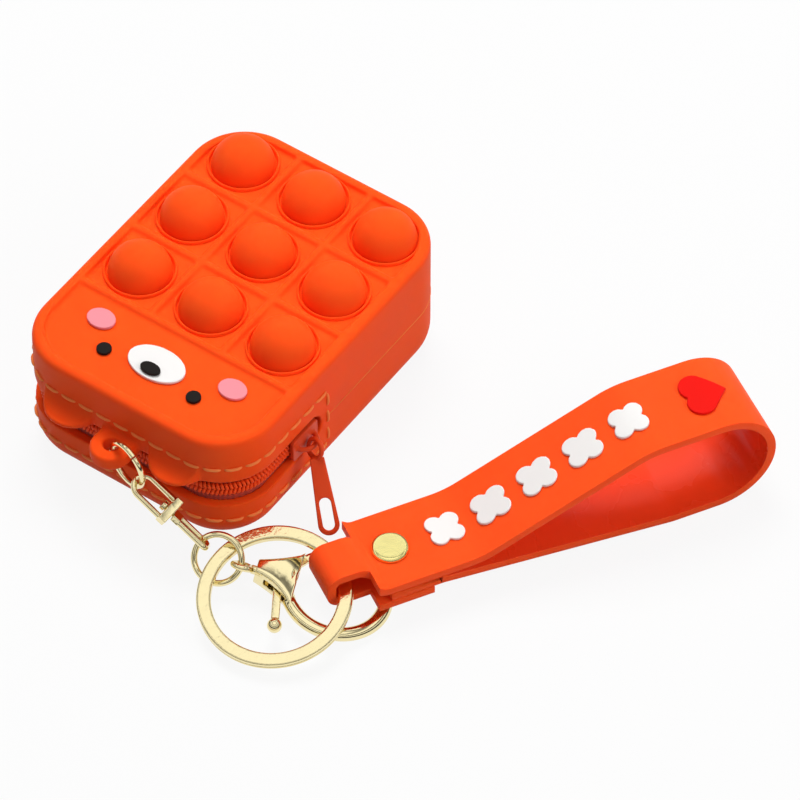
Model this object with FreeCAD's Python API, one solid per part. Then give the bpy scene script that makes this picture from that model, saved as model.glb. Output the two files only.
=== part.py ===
import FreeCAD, Part
import math
import os

from FreeCAD import Placement, Rotation, Vector

# Squeeze coin purse: a soft moulded box with a bubble deck, a zip, a ring chain and a wrist strap.
# Origin at the centre of the underside, +X to the right along the front, +Y to the back, +Z up, in mm.

# Moulded purse body
purse_width = 54.0
purse_depth = 73.0
purse_height = 30.0
corner_radius = 12.0
wall = 1.9
floor_thickness = 1.9
base_edge_round = 7.0
rim_round = 1.5
rim_width = 2.4
deck_recess = 1.0
deck_thickness = 1.7
cut_overrun = 5.0
level_tolerance = 0.01

# Ribs and bubbles of the deck
bubble_pitch = 17.0
bubble_back_margin = 9.5
bubble_radius = 6.35
bubble_height = 6.2
bubble_wall = 1.0
bubble_clearance = 0.3
collar_width = 0.65
collar_height = 0.5
collar_round = 0.3
rib_width = 1.6
rib_height = 0.8
rib_round = 0.7

# Zip slot, tapes and teeth
zip_level_share = 0.5
slot_half_height = 3.4
slot_end_from_front = 28.1
web_gap = 0.15
tape_gap = 0.05
tape_thickness = 0.4
tape_half_gap = 0.9
tape_reach = 8.4
tape_past_slot = 3.0
tooth_recess = 0.8
tooth_tape_gap = 0.1
tooth_pitch = 1.6
tooth_width = 0.62
tooth_overlap = 0.6
tooth_height = 2.0
tooth_end_margin = 4.6
stop_length = 1.6
stop_height = 3.4

# Zip slider and pull
slider_length = 8.0
slider_half_height = 2.7
slider_plate = 0.8
slider_back_plate = 0.6
slider_running_gap = 0.2
slider_from_slot_end = 1.6
slider_flange = 0.6
slider_post_length = 1.6
slider_post_height = 1.2
slider_round = 0.7
bail_radius = 2.1
bail_wire = 0.5
pull_loop_radius = 1.9
pull_loop_wire = 0.5
pull_loop_gap = 0.3
pull_top_width = 2.8
pull_tip_width = 4.2
pull_length = 17.0
pull_thickness = 1.1
pull_slot_width = 2.3
pull_slot_length = 6.4
pull_slot_from_tip = 0.95
pull_turn = -40.7
pull_tilt = 44.5
pull_face_turn = -53.6
pull_face_tilt = 44.7

# Ear scoops and the lug on the front lip of the lid
ear_offset = 12.5
ear_radius = 6.0
ear_reach = 4.2
ear_above_edge = 0.2
ear_lip = 1.1
ear_top_drop = 7.8
ear_scoop_sag = 0.75
lug_radius = 4.2
lug_hole_radius = 1.6
lug_hole_from_wall = 3.2
lug_below_edge = 1.2
lug_above_edge = 2.2
lug_round = 0.9

# Soft face inlays on the front of the deck
inlay_height = 0.7
face_from_rib = 9.1
muzzle_half_width = 6.2
muzzle_half_depth = 4.0
nose_half_width = 2.2
nose_half_depth = 1.4
nose_forward = 2.0
eye_radius = 1.5
eye_offset = 10.6
eye_forward = 2.6
cheek_half_width = 3.0
cheek_half_depth = 2.4
cheek_offset = 15.6
cheek_back = 3.2

# Rings and links of the chain
link_gap = 0.2
lug_ring_radius = 4.6
lug_ring_wire = 0.6
lug_ring_split_width = 0.35
lug_ring_split_angle = 62.0
lug_ring_turn = -15.0
lug_ring_offset = 0.4
joint_ring_radius = 4.7
joint_ring_wire = 0.65
joint_ring_tilt = 32.0
joint_ring_shift = 0.3
joint_ring_roll = 12.0
stirrup_wire = 0.6
upper_stirrup_half_width = 2.3
lower_stirrup_half_width = 1.75
lower_stirrup_corner = 0.8
swivel_block_length = 1.7
swivel_block_height = 2.2
swivel_gap = 0.2
swivel_pin_radius = 0.55
swivel_pin_play = 0.06
swivel_head_radius = 1.05
swivel_head_length = 0.9
swivel_share = 0.52

# Flat key ring
key_ring_from_side = 13.3
key_ring_from_front = 6.1
key_ring_level = 5.8
key_ring_outer_radius = 15.0
key_ring_band = 2.8
key_ring_thickness = 1.8
key_ring_edge_round = 0.5
key_ring_groove = 0.22
key_ring_heading = 35.0
key_ring_tilt = 11.5
key_ring_roll = 5.0
key_ring_joint_angle = 141.0
key_ring_strap_angle = 20.0

# Clasp with a swivel eye and a sprung gate
eye_loop_radius = 1.75
eye_loop_wire = 0.65
eye_stem_radius = 0.9
eye_stem_length = 2.4
eye_stem_play = 0.06
clasp_from_seat_side = 0.15
clasp_from_seat_front = 1.8
clasp_below_seat = 4.9
clasp_ring_radius = 9.5
clasp_wire_half_width = 1.45
clasp_wire_half_height = 1.25
clasp_collar_gap = 0.3
clasp_collar_half_width = 1.7
clasp_collar_half_height = 1.6
clasp_body_end_angle = 146.0
clasp_hook_start = 185.0
clasp_hook_end = 420.0
clasp_slot_half_height = 0.8
clasp_slot_from_collar = 2.0
clasp_root_from_axis = 5.3
clasp_cheek_half_height = 1.5
clasp_waist_share = 0.45
clasp_waist_half_width = 3.1
clasp_edge_round = 0.9
gate_pivot_from_collar = 4.4
gate_half_height = 0.5
gate_arm_half_width = 0.9
gate_hub_radius = 1.5
gate_tip_angle = 3.5
gate_tip_gap = 0.3
gate_pin_radius = 0.6
gate_pin_play = 0.06
lever_half_width = 0.8
lever_ball_radius = 1.45
lever_ball_u = -9.6
lever_ball_v = -11.4

# Wrist strap, rivet and inlays
strap_width = 18.0
strap_thickness = 1.8
strap_neck_width = 9.0
strap_neck_clearance = 0.55
strap_heading = 59.0
strap_shoulder = 4.0
strap_tab_end = 15.5
strap_layer_gap = 0.2
strap_lower_end = 6.6
strap_descent_start = 17.5
strap_descent_end = 66.0
strap_bend = 9.0
strap_far_end = 87.4
strap_far_bend = 10.8
strap_far_straight = 0.2
strap_crest = 60.5
strap_crest_bend = 16.0
strap_floor_gap = 0.05
strap_loop_back = 3.9
strap_loop_bend = 2.2
strap_top_level_end = 25.5
strap_neck_start = 5.2
strap_neck_crest = 2.4
strap_neck_bend = 3.0
rivet_from_ring = 10.1
rivet_cap_radius = 3.7
rivet_cap_height = 0.9
rivet_dome_share = 0.8
rivet_post_radius = 1.4
rivet_hole_play = 0.1
rivet_back_radius = 2.6
rivet_back_height = 0.3
motif_height = 0.6
motif_count = 5
motif_start = 21.5
motif_pitch = 9.6
petal_radius = 1.85
petal_offset = 2.25
heart_from_ring = 76.5
heart_lobe_radius = 2.9
heart_turn = 135.0


def ellipse_prism(centre, half_x, half_y, low, high):
    """Upright prism of an ellipse, with its long axis along X or Y."""
    if half_x >= half_y:
        curve = Part.Ellipse(centre, half_x, half_y)
        edge = curve.toShape()
    else:
        curve = Part.Ellipse(centre, half_y, half_x)
        edge = curve.toShape()
        edge.rotate(centre, Vector(0, 0, 1), 90)
    face = Part.Face(Part.Wire([edge]))
    face.translate(Vector(0, 0, low - centre.z))
    return face.extrude(Vector(0, 0, high - low))


def rounded_block(half_x, half_y, radius, low, high):
    """Upright prism of a rectangle with rounded corners."""
    x, y, r = half_x, half_y, radius
    diagonal = r * math.sqrt(0.5)
    edges = []
    corners = [(1, 1), (-1, 1), (-1, -1), (1, -1)]
    for i in range(len(corners)):
        sx, sy = corners[i]
        centre = Vector(sx * (x - r), sy * (y - r), low)
        on_side = centre + Vector(sx * r, 0, 0)
        on_end = centre + Vector(0, sy * r, 0)
        middle = centre + Vector(sx * diagonal, sy * diagonal, 0)
        first, last = (on_side, on_end) if sx * sy > 0 else (on_end, on_side)
        edges.append(Part.Arc(first, middle, last).toShape())
        tx, ty = corners[(i + 1) % len(corners)]
        next_centre = Vector(tx * (x - r), ty * (y - r), low)
        across = Vector(0, ty * r, 0) if tx * ty < 0 else Vector(tx * r, 0, 0)
        edges.append(Part.makeLine(last, next_centre + across))
    face = Part.Face(Part.Wire(edges))
    return face.extrude(Vector(0, 0, high - low))


def box(x_low, x_high, y_low, y_high, z_low, z_high):
    """Box between two corners."""
    return Part.makeBox(x_high - x_low, y_high - y_low, z_high - z_low, Vector(x_low, y_low, z_low))


def edges_at_level(shape, level):
    """Edges that lie in one level plane."""
    found = []
    for edge in shape.Edges:
        limits = edge.BoundBox
        if abs(limits.ZMin - level) < level_tolerance and abs(limits.ZMax - level) < level_tolerance:
            found.append(edge)
    return found


def unit(vector):
    """Copy of a vector with length one."""
    return Vector(vector).normalize()


def heading(turn, rise):
    """Direction at an angle round Z from +X and an angle above level."""
    level = Vector(math.cos(math.radians(turn)), math.sin(math.radians(turn)), 0)
    return level * math.cos(math.radians(rise)) + Vector(0, 0, math.sin(math.radians(rise)))


def in_plane(direction, normal):
    """Direction laid into the plane that has the given normal."""
    return unit(direction - normal * direction.dot(normal))


def frame_at(point, x_axis, z_axis):
    """Placement whose local Z is z_axis and local X is as near x_axis as it can be."""
    y_axis = unit(z_axis.cross(x_axis))
    return Placement(point, Rotation(y_axis.cross(unit(z_axis)), y_axis, unit(z_axis), "ZXY"))


def ring(centre, normal, radius, wire):
    """Closed ring of round wire."""
    return Part.makeTorus(radius, wire, centre, normal)


def tube(path_edges, radius):
    """Round wire along a path of lines and tangent arcs."""
    path = Part.Wire(path_edges)
    first = path.Edges[0]
    start = first.valueAt(first.FirstParameter)
    heading = first.tangentAt(first.FirstParameter)
    section = Part.Wire([Part.makeCircle(radius, start, heading)])
    return path.makePipeShell([section], True, False)


def save(name, shape):
    """Write one piece to its own file."""
    shape.exportStep("parts/" + name + ".step")


os.makedirs("parts", exist_ok=True)

half_width = purse_width / 2
half_depth = purse_depth / 2
deck_top = purse_height - deck_recess
deck_under = deck_top - deck_thickness
zip_level = purse_height * zip_level_share
lid_edge = zip_level + slot_half_height
base_edge = zip_level - slot_half_height
slot_end_y = slot_end_from_front - half_depth
bubble_middle_row_y = half_depth - bubble_back_margin - bubble_pitch
front_rib_y = bubble_middle_row_y - 1.5 * bubble_pitch
face_middle_y = front_rib_y - face_from_rib
ear_bottom = lid_edge + ear_above_edge
lug_bottom = lid_edge - lug_below_edge
lug_top = lid_edge + lug_above_edge


def inset_block(inset, low, high):
    """Prism of the purse's plan, set in from the outer wall."""
    return rounded_block(half_width - inset, half_depth - inset, corner_radius - inset, low, high)


def purse_outside():
    """Outer form of the closed purse with its rounded floor edge and rim."""
    solid = inset_block(0, 0, purse_height)
    solid = solid.makeFillet(base_edge_round, edges_at_level(solid, 0))
    return solid.makeFillet(rim_round, edges_at_level(solid, purse_height))


def purse_inside():
    """Coin space between the floor and the deck."""
    solid = inset_block(wall, floor_thickness, deck_under)
    return solid.makeFillet(base_edge_round - wall, edges_at_level(solid, floor_thickness))


def slot_cut():
    """Zip slot round the front and sides, with round ends."""
    round_end_y = slot_end_y - slot_half_height
    straight = box(-half_width - cut_overrun, half_width + cut_overrun,
                   -half_depth - cut_overrun, round_end_y, base_edge, lid_edge)
    end = Part.makeCylinder(slot_half_height, purse_width + 2 * cut_overrun,
                            Vector(-half_width - cut_overrun, round_end_y, zip_level), Vector(1, 0, 0))
    return straight.fuse(end)


bubble_places = []
for row in range(3):
    for column in range(3):
        bubble_places.append(Vector((column - 1) * bubble_pitch,
                                    bubble_middle_row_y + (1 - row) * bubble_pitch, deck_top))


def deck_ribs():
    """Raised ribs between the bubbles, rounded along their tops."""
    back_y = half_depth - rim_width
    side_x = half_width - rim_width
    rib_top = deck_top + rib_height
    ribs = []
    for side in (-1, 1):
        x = side * bubble_pitch / 2
        ribs.append(box(x - rib_width / 2, x + rib_width / 2, front_rib_y, back_y, deck_top, rib_top))
    for step in range(3):
        y = front_rib_y + step * bubble_pitch
        ribs.append(box(-side_x, side_x, y - rib_width / 2, y + rib_width / 2, deck_top, rib_top))
    rounded = []
    for rib in ribs:
        long_side = max(rib.BoundBox.XLength, rib.BoundBox.YLength)
        tops = [e for e in edges_at_level(rib, rib_top) if abs(e.Length - long_side) < rib_round]
        rounded.append(rib.makeFillet(rib_round, tops))
    return rounded


def deck_collars():
    """Low rings round the bubbles."""
    collars = []
    hole_radius = bubble_radius + bubble_clearance
    for place in bubble_places:
        collar = Part.makeCylinder(hole_radius + collar_width, collar_height, place)
        collars.append(collar.makeFillet(collar_round, edges_at_level(collar, deck_top + collar_height)))
    return collars


def ear(side):
    """Scooped ear lobe on the lid's front lip."""
    x = side * ear_offset
    front = -half_depth - ear_reach
    inner = -half_depth + wall / 2
    top = purse_height - ear_top_drop
    lip_top = Vector(0, front, ear_bottom + ear_lip)
    wall_top = Vector(0, -half_depth, top)
    middle = (lip_top + wall_top) * 0.5 + Vector(0, ear_scoop_sag, -ear_scoop_sag)
    profile = [Part.makeLine(Vector(0, inner, ear_bottom), Vector(0, front, ear_bottom)),
               Part.makeLine(Vector(0, front, ear_bottom), lip_top),
               Part.Arc(lip_top, middle, wall_top).toShape(),
               Part.makeLine(wall_top, Vector(0, inner, top)),
               Part.makeLine(Vector(0, inner, top), Vector(0, inner, ear_bottom))]
    face = Part.Face(Part.Wire(profile))
    face.translate(Vector(x - ear_radius, 0, 0))
    ramp = face.extrude(Vector(2 * ear_radius, 0, 0))
    outline = Part.makeCylinder(ear_radius, top - ear_bottom, Vector(x, front + ear_radius, ear_bottom))
    return ramp.common(outline)


lug_hole = Vector(0, -half_depth - lug_hole_from_wall, (lug_bottom + lug_top) / 2)


def lug():
    """Thick eyelet between the ears, with an upright hole for the ring."""
    eyelet = Part.makeCylinder(lug_radius, lug_top - lug_bottom, Vector(0, lug_hole.y, lug_bottom))
    root = box(-lug_radius, lug_radius, lug_hole.y, -half_depth + wall / 2, lug_bottom, lug_top)
    solid = eyelet.fuse(root).removeSplitter()
    rims = [e for e in edges_at_level(solid, lug_top) + edges_at_level(solid, lug_bottom)
            if e.BoundBox.YMin < -half_depth]
    solid = solid.makeFillet(lug_round, rims)
    inner_front = -half_depth + wall
    below_lid = box(-lug_radius - cut_overrun, lug_radius + cut_overrun, -half_depth,
                    inner_front + cut_overrun, lug_bottom - cut_overrun, lid_edge)
    return solid.cut(below_lid)


def lid_shell():
    """Upper half: deck, ribs, collars, rim, ears and lug."""
    above = inset_block(-cut_overrun, lid_edge, purse_height + cut_overrun)
    shell = purse_outside().common(above)
    shell = shell.cut(inset_block(rim_width, deck_top, purse_height + cut_overrun))
    shell = shell.fuse(deck_ribs() + deck_collars() + [ear(-1), ear(1), lug()])
    cuts = [inset_block(wall, lid_edge - cut_overrun, deck_under)]
    cuts.append(Part.makeCylinder(lug_hole_radius, lug_top - lug_bottom + 2 * cut_overrun,
                                  Vector(0, lug_hole.y, lug_bottom - cut_overrun)))
    for place in bubble_places:
        cuts.append(Part.makeCylinder(bubble_radius + bubble_clearance, purse_height,
                                      Vector(place.x, place.y, deck_under - cut_overrun)))
    return shell.cut(cuts).removeSplitter()


def base_shell():
    """Lower half: floor and low walls."""
    below = inset_block(-cut_overrun, -cut_overrun, base_edge)
    return purse_outside().cut(purse_inside()).common(below)


def rear_web():
    """Soft rear and side wall behind the zip, which bends as the living hinge."""
    band = inset_block(0, base_edge, lid_edge - web_gap)
    band = band.cut(inset_block(wall, base_edge - cut_overrun, lid_edge + cut_overrun))
    return band.cut(slot_cut())


def bubble(place):
    """Thin round bubble with a short skirt through the deck."""
    sphere_radius = (bubble_radius ** 2 + bubble_height ** 2) / (2 * bubble_height)
    sphere_z = bubble_height - sphere_radius
    inner_radius = sphere_radius - bubble_wall
    skirt_inner = bubble_radius - bubble_wall
    inner_base_z = sphere_z + math.sqrt(max(inner_radius ** 2 - skirt_inner ** 2, 0))

    def on_sphere(radius, angle):
        return Vector(radius * math.cos(angle), 0, sphere_z + radius * math.sin(angle))

    outer_start = math.asin(max(-sphere_z / sphere_radius, -1))
    inner_start = math.acos(min(skirt_inner / inner_radius, 1))
    top = math.pi / 2
    outer_low = Vector(bubble_radius, 0, 0)
    outer_top = on_sphere(sphere_radius, top)
    inner_low = Vector(skirt_inner, 0, inner_base_z)
    inner_top = on_sphere(inner_radius, top)
    skirt_out = Vector(bubble_radius, 0, -deck_thickness)
    skirt_in = Vector(skirt_inner, 0, -deck_thickness)
    edges = [Part.Arc(outer_low, on_sphere(sphere_radius, (outer_start + top) / 2), outer_top).toShape(),
             Part.makeLine(outer_top, inner_top),
             Part.Arc(inner_top, on_sphere(inner_radius, (inner_start + top) / 2), inner_low).toShape(),
             Part.makeLine(inner_low, skirt_in),
             Part.makeLine(skirt_in, skirt_out),
             Part.makeLine(skirt_out, outer_low)]
    solid = Part.Face(Part.Wire(edges)).revolve(Vector(0, 0, 0), Vector(0, 0, 1), 360)
    solid.translate(place)
    return solid


def zip_tape(low, high):
    """Woven tape behind the slot, lying on the inside of the wall."""
    outer_inset = wall + tape_gap
    band = inset_block(outer_inset, low, high)
    band = band.cut(inset_block(outer_inset + tape_thickness, low - cut_overrun, high + cut_overrun))
    keep = box(-half_width, half_width, -half_depth, slot_end_y + tape_past_slot, low, high)
    return band.common(keep)


tooth_depth = wall + tape_gap - tooth_tape_gap - tooth_recess
tooth_inset = tooth_recess + tooth_depth / 2
tooth_last_y = slot_end_y - tooth_end_margin


def zip_path_point(distance):
    """Point and heading on the zip line, from the slot's right end round the front to its left end."""
    radius = corner_radius - tooth_inset
    side_x = half_width - tooth_inset
    corner_y = corner_radius - half_depth
    side_run = tooth_last_y - corner_y
    corner_run = radius * math.pi / 2
    front_run = 2 * (half_width - corner_radius)
    if distance <= side_run:
        return Vector(side_x, tooth_last_y - distance, zip_level), Vector(0, -1, 0)
    distance -= side_run
    if distance <= corner_run:
        turn = distance / radius
        out = Vector(math.cos(turn), -math.sin(turn), 0)
        centre = Vector(half_width - corner_radius, corner_y, zip_level)
        return centre + out * radius, Vector(-math.sin(turn), -math.cos(turn), 0)
    distance -= corner_run
    if distance <= front_run:
        front = Vector(half_width - corner_radius - distance, tooth_inset - half_depth, zip_level)
        return front, Vector(-1, 0, 0)
    distance -= front_run
    if distance <= corner_run:
        turn = distance / radius
        out = Vector(-math.sin(turn), -math.cos(turn), 0)
        centre = Vector(corner_radius - half_width, corner_y, zip_level)
        return centre + out * radius, Vector(-math.cos(turn), math.sin(turn), 0)
    distance -= corner_run
    return Vector(-side_x, corner_y + distance, zip_level), Vector(0, 1, 0)


zip_length = (2 * (tooth_last_y - corner_radius + half_depth) + 2 * (half_width - corner_radius)
              + math.pi * (corner_radius - tooth_inset))


def zip_block(distance, length, low, high):
    """Small block set across the zip line."""
    point, heading = zip_path_point(distance)
    solid = Part.makeBox(length, tooth_depth, high - low, Vector(-length / 2, -tooth_depth / 2, low))
    solid.Placement = Placement(Vector(point.x, point.y, 0), Rotation(Vector(1, 0, 0), heading))
    return solid


def zip_teeth(upper):
    """One row of teeth, which lies between the teeth of the other row."""
    count = int(zip_length / tooth_pitch)
    start = 0.25 * tooth_pitch if upper else 0.75 * tooth_pitch
    low = zip_level - tooth_overlap if upper else zip_level + tooth_overlap - tooth_height
    teeth = [zip_block(start + i * tooth_pitch, tooth_width, low, low + tooth_height) for i in range(count)]
    return Part.makeCompound(teeth)


def zip_stop():
    """Metal stop that closes the far end of the teeth."""
    half = stop_height / 2
    return zip_block(zip_length + stop_length, stop_length, zip_level - half, zip_level + half)


slider_back_y = slot_end_y - slider_from_slot_end
slider_front_y = slider_back_y - slider_length
slider_inner_x = half_width - tooth_recess + slider_running_gap
slider_outer_x = slider_inner_x + slider_plate
slider_middle_y = (slider_back_y + slider_front_y) / 2
tape_inner_x = half_width - wall - tape_gap - tape_thickness
bail_top = Vector(slider_outer_x + bail_radius, slider_middle_y, zip_level)


def zip_slider():
    """Slider: outer plate with its lower flange, inner plate, the post between them and the bail."""
    low = zip_level - slider_half_height
    high = zip_level + slider_half_height
    plate = box(slider_inner_x, slider_outer_x, slider_front_y, slider_back_y, low, high)
    upright = [e for e in plate.Edges if e.BoundBox.XLength > slider_plate / 2]
    plate = plate.makeFillet(slider_round, upright)
    flange_inner = slider_inner_x - slider_running_gap - tooth_depth
    flange = box(flange_inner, slider_inner_x, slider_front_y + slider_round, slider_back_y - slider_round,
                 low, low + slider_flange)
    back_outer = tape_inner_x - slider_running_gap
    back_plate = box(back_outer - slider_back_plate, back_outer, slider_front_y, slider_back_y, low, high)
    post_back = slider_back_y - slider_round
    post_half = slider_post_height / 2
    post = box(back_outer, slider_inner_x, post_back - slider_post_length, post_back,
               zip_level - post_half, zip_level + post_half)
    bail_centre = Vector(slider_outer_x - bail_wire, slider_middle_y, zip_level)
    arch_radius = bail_radius + bail_wire
    top = bail_centre + Vector(arch_radius, 0, 0)
    foot = Vector(0, arch_radius, 0)
    arch = Part.Arc(bail_centre - foot, top, bail_centre + foot).toShape()
    return plate.fuse([flange, back_plate, post, tube([arch], bail_wire)]).removeSplitter()


pull_axis = heading(pull_turn, -pull_tilt)
pull_side = unit(heading(pull_face_turn, pull_face_tilt).cross(pull_axis))
pull_normal = unit(pull_side.cross(pull_axis))
pull_loop_offset = pull_loop_radius - bail_wire - pull_loop_wire - pull_loop_gap
pull_loop_normal = unit(Vector(0, 1, 0) - pull_axis * pull_axis.y)
pull_loop_centre = bail_top + pull_axis * pull_loop_offset


def zip_pull():
    """Tapered pull tab with a round loop at the bail and a long slot near the tip."""
    loop = ring(pull_loop_centre, pull_loop_normal, pull_loop_radius, pull_loop_wire)
    start = pull_loop_radius
    tip_half = pull_tip_width / 2
    outline = [Vector(-pull_top_width / 2, start, 0), Vector(pull_top_width / 2, start, 0),
               Vector(tip_half, pull_length - tip_half, 0), Vector(-tip_half, pull_length - tip_half, 0)]
    edges = [Part.makeLine(outline[0], outline[1]), Part.makeLine(outline[1], outline[2]),
             Part.Arc(outline[2], Vector(0, pull_length, 0), outline[3]).toShape(),
             Part.makeLine(outline[3], outline[0])]
    tab = Part.Face(Part.Wire(edges)).extrude(Vector(0, 0, pull_thickness))
    slot_half = pull_slot_width / 2
    slot_far = pull_length - pull_slot_from_tip - slot_half
    slot_near = slot_far - pull_slot_length + pull_slot_width
    slot = box(-slot_half, slot_half, slot_near, slot_far, -cut_overrun, cut_overrun)
    for y in (slot_near, slot_far):
        slot = slot.fuse(Part.makeCylinder(slot_half, 2 * cut_overrun, Vector(0, y, -cut_overrun)))
    tab = tab.cut(slot)
    tab.translate(Vector(0, 0, -pull_thickness / 2))
    pull_frame = Placement(pull_loop_centre, Rotation(pull_side, pull_axis, pull_normal, "ZXY"))
    tab.Placement = pull_frame.multiply(tab.Placement)
    return loop.fuse(tab).removeSplitter()


def face_inlay(places, half_x, half_y):
    """Soft oval inlays on the deck."""
    top = deck_top + inlay_height
    ovals = [ellipse_prism(Vector(x, y, 0), half_x, half_y, deck_top, top) for x, y in places]
    return Part.makeCompound(ovals)


# Directions of the flat key ring, which leans on the clasp
up = Vector(0, 0, 1)
key_heading = math.radians(key_ring_heading)
flat_right = Vector(math.cos(key_heading), math.sin(key_heading), 0)
flat_back = Vector(-math.sin(key_heading), math.cos(key_heading), 0)
key_right = flat_right * math.cos(math.radians(key_ring_roll)) + up * math.sin(math.radians(key_ring_roll))
key_back_lean = flat_back * math.cos(math.radians(key_ring_tilt)) + up * math.sin(math.radians(key_ring_tilt))
key_normal = unit(key_right.cross(key_back_lean))
key_back = key_normal.cross(key_right)
key_mean_radius = key_ring_outer_radius - key_ring_band / 2
key_ring_centre = Vector(half_width + key_ring_from_side, -half_depth - key_ring_from_front, key_ring_level)


def key_radial(angle):
    """Outward direction at an angle round the key ring."""
    turn = math.radians(angle)
    return key_right * math.cos(turn) + key_back * math.sin(turn)


# Joint ring, which the key ring passes through at a slant
joint_out = key_radial(key_ring_joint_angle)
band_run = unit(joint_out.cross(key_normal))
joint_tilt = math.radians(joint_ring_tilt)
joint_rise = band_run * math.cos(joint_tilt) + key_normal * math.sin(joint_tilt)
joint_roll = Rotation(joint_rise, joint_ring_roll)
joint_out = joint_roll.multVec(joint_out)
joint_normal = unit(joint_rise.cross(joint_out))
joint_centre = (key_ring_centre + key_radial(key_ring_joint_angle) * key_mean_radius
                + joint_out * joint_ring_shift)

# Lug ring and the swivel between the two rings
lug_turn = math.radians(lug_ring_turn)
lug_out = Vector(math.cos(lug_turn), math.sin(lug_turn), 0)
lug_ring_centre = lug_hole + lug_out * (lug_ring_offset + lug_ring_radius)
lug_ring_normal = lug_out.cross(up)
upper_seat = lug_ring_radius - lug_ring_wire - stirrup_wire - link_gap
lower_seat = joint_ring_radius - joint_ring_wire - stirrup_wire - link_gap
lug_ring_hang = unit(lug_out - up)
joint_hold = joint_out
for settle in range(8):
    swivel_start = lug_ring_centre + lug_ring_hang * upper_seat
    swivel_end = joint_centre + joint_hold * lower_seat
    swivel_axis = unit(swivel_end - swivel_start)
    lug_ring_hang = in_plane(swivel_axis, lug_ring_normal)
    joint_hold = in_plane(swivel_axis * -1, joint_normal)
swivel_length = (swivel_end - swivel_start).Length
lug_ring_tangent = lug_ring_normal.cross(lug_ring_hang)
upper_bar = unit(swivel_axis.cross(lug_ring_tangent))
lower_bar = unit(swivel_axis.cross(joint_normal.cross(joint_hold)))


def lug_ring():
    """Round wire jump ring with a narrow split."""
    solid = ring(lug_ring_centre, lug_ring_normal, lug_ring_radius, lug_ring_wire)
    turn = math.radians(lug_ring_split_angle)
    out = lug_out * math.cos(turn) + up * math.sin(turn)
    reach = 2 * lug_ring_wire
    split = Part.makeBox(2 * reach, 2 * reach, lug_ring_split_width,
                         Vector(-reach, -reach, -lug_ring_split_width / 2))
    split.Placement = frame_at(lug_ring_centre + out * lug_ring_radius, out, lug_ring_normal.cross(out))
    return solid.cut(split)


def stirrup_block(start, bar, half_width, half_height, length):
    """Flat head of a swivel link, from a point along the swivel's axis."""
    solid = Part.makeBox(2 * half_width, 2 * half_height, length, Vector(-half_width, -half_height, 0))
    solid.Placement = frame_at(start, bar, swivel_axis)
    return solid


upper_block_end = swivel_length * swivel_share
upper_block_start = upper_block_end - swivel_block_length
lower_block_start = upper_block_end + swivel_gap


def swivel_upper_link():
    """Rounded stirrup on the lug ring, with a drilled block for the pin."""
    side = upper_bar * upper_stirrup_half_width
    shoulder = swivel_start + swivel_axis * upper_stirrup_half_width
    block_at = swivel_start + swivel_axis * (upper_block_start + stirrup_wire)
    path = [Part.makeLine(block_at + side, shoulder + side),
            Part.Arc(shoulder + side, swivel_start, shoulder - side).toShape(),
            Part.makeLine(shoulder - side, block_at - side)]
    block = stirrup_block(swivel_start + swivel_axis * upper_block_start, upper_bar,
                          upper_stirrup_half_width + stirrup_wire, swivel_block_height / 2,
                          swivel_block_length)
    drill_at = swivel_start + swivel_axis * (upper_block_start - swivel_block_length)
    drill = Part.makeCylinder(swivel_pin_radius + swivel_pin_play, 3 * swivel_block_length,
                              drill_at, swivel_axis)
    return tube(path, stirrup_wire).fuse(block).cut(drill).removeSplitter()


def swivel_pin():
    """Headed pin that lets the lower link turn in the upper one."""
    head_at = swivel_start + swivel_axis * (upper_block_start - swivel_gap - swivel_head_length)
    head = Part.makeCylinder(swivel_head_radius, swivel_head_length, head_at, swivel_axis)
    shank_length = lower_block_start - upper_block_start + swivel_gap + swivel_head_length
    shank = Part.makeCylinder(swivel_pin_radius, shank_length, head_at, swivel_axis)
    return head.fuse(shank).removeSplitter()


def swivel_lower_link():
    """Square stirrup that holds the joint ring."""
    side = lower_bar * lower_stirrup_half_width
    inner = lower_bar * (lower_stirrup_half_width - lower_stirrup_corner)
    block_at = swivel_start + swivel_axis * (lower_block_start + stirrup_wire)
    corner_at = swivel_end - swivel_axis * lower_stirrup_corner
    bend = lower_stirrup_corner * math.sqrt(0.5)
    near_mid = corner_at + inner + lower_bar * bend + swivel_axis * bend
    far_mid = corner_at - inner - lower_bar * bend + swivel_axis * bend
    path = [Part.makeLine(block_at + side, corner_at + side),
            Part.Arc(corner_at + side, near_mid, swivel_end + inner).toShape(),
            Part.makeLine(swivel_end + inner, swivel_end - inner),
            Part.Arc(swivel_end - inner, far_mid, corner_at - side).toShape(),
            Part.makeLine(corner_at - side, block_at - side)]
    block = stirrup_block(swivel_start + swivel_axis * lower_block_start, lower_bar,
                          lower_stirrup_half_width + stirrup_wire, stirrup_wire, swivel_block_length)
    return tube(path, stirrup_wire).fuse(block).removeSplitter()


def key_ring():
    """Flat ring of two turns, shown by the groove round its edge."""
    low = Vector(0, 0, -key_ring_thickness / 2)
    inner_radius = key_ring_outer_radius - key_ring_band
    solid = Part.makeCylinder(key_ring_outer_radius, key_ring_thickness, low)
    solid = solid.cut(Part.makeCylinder(inner_radius, key_ring_thickness, low))
    rims = edges_at_level(solid, low.z) + edges_at_level(solid, -low.z)
    solid = solid.makeFillet(key_ring_edge_round, [e for e in rims if e.Length > key_ring_outer_radius])
    groove = Part.makeTorus(key_ring_outer_radius, key_ring_groove)
    solid = solid.cut(groove)
    solid.Placement = frame_at(key_ring_centre, key_right, key_normal)
    return solid


# Point of the key ring that carries the strap
strap_seat = key_ring_centre + key_radial(key_ring_strap_angle) * key_mean_radius

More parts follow.
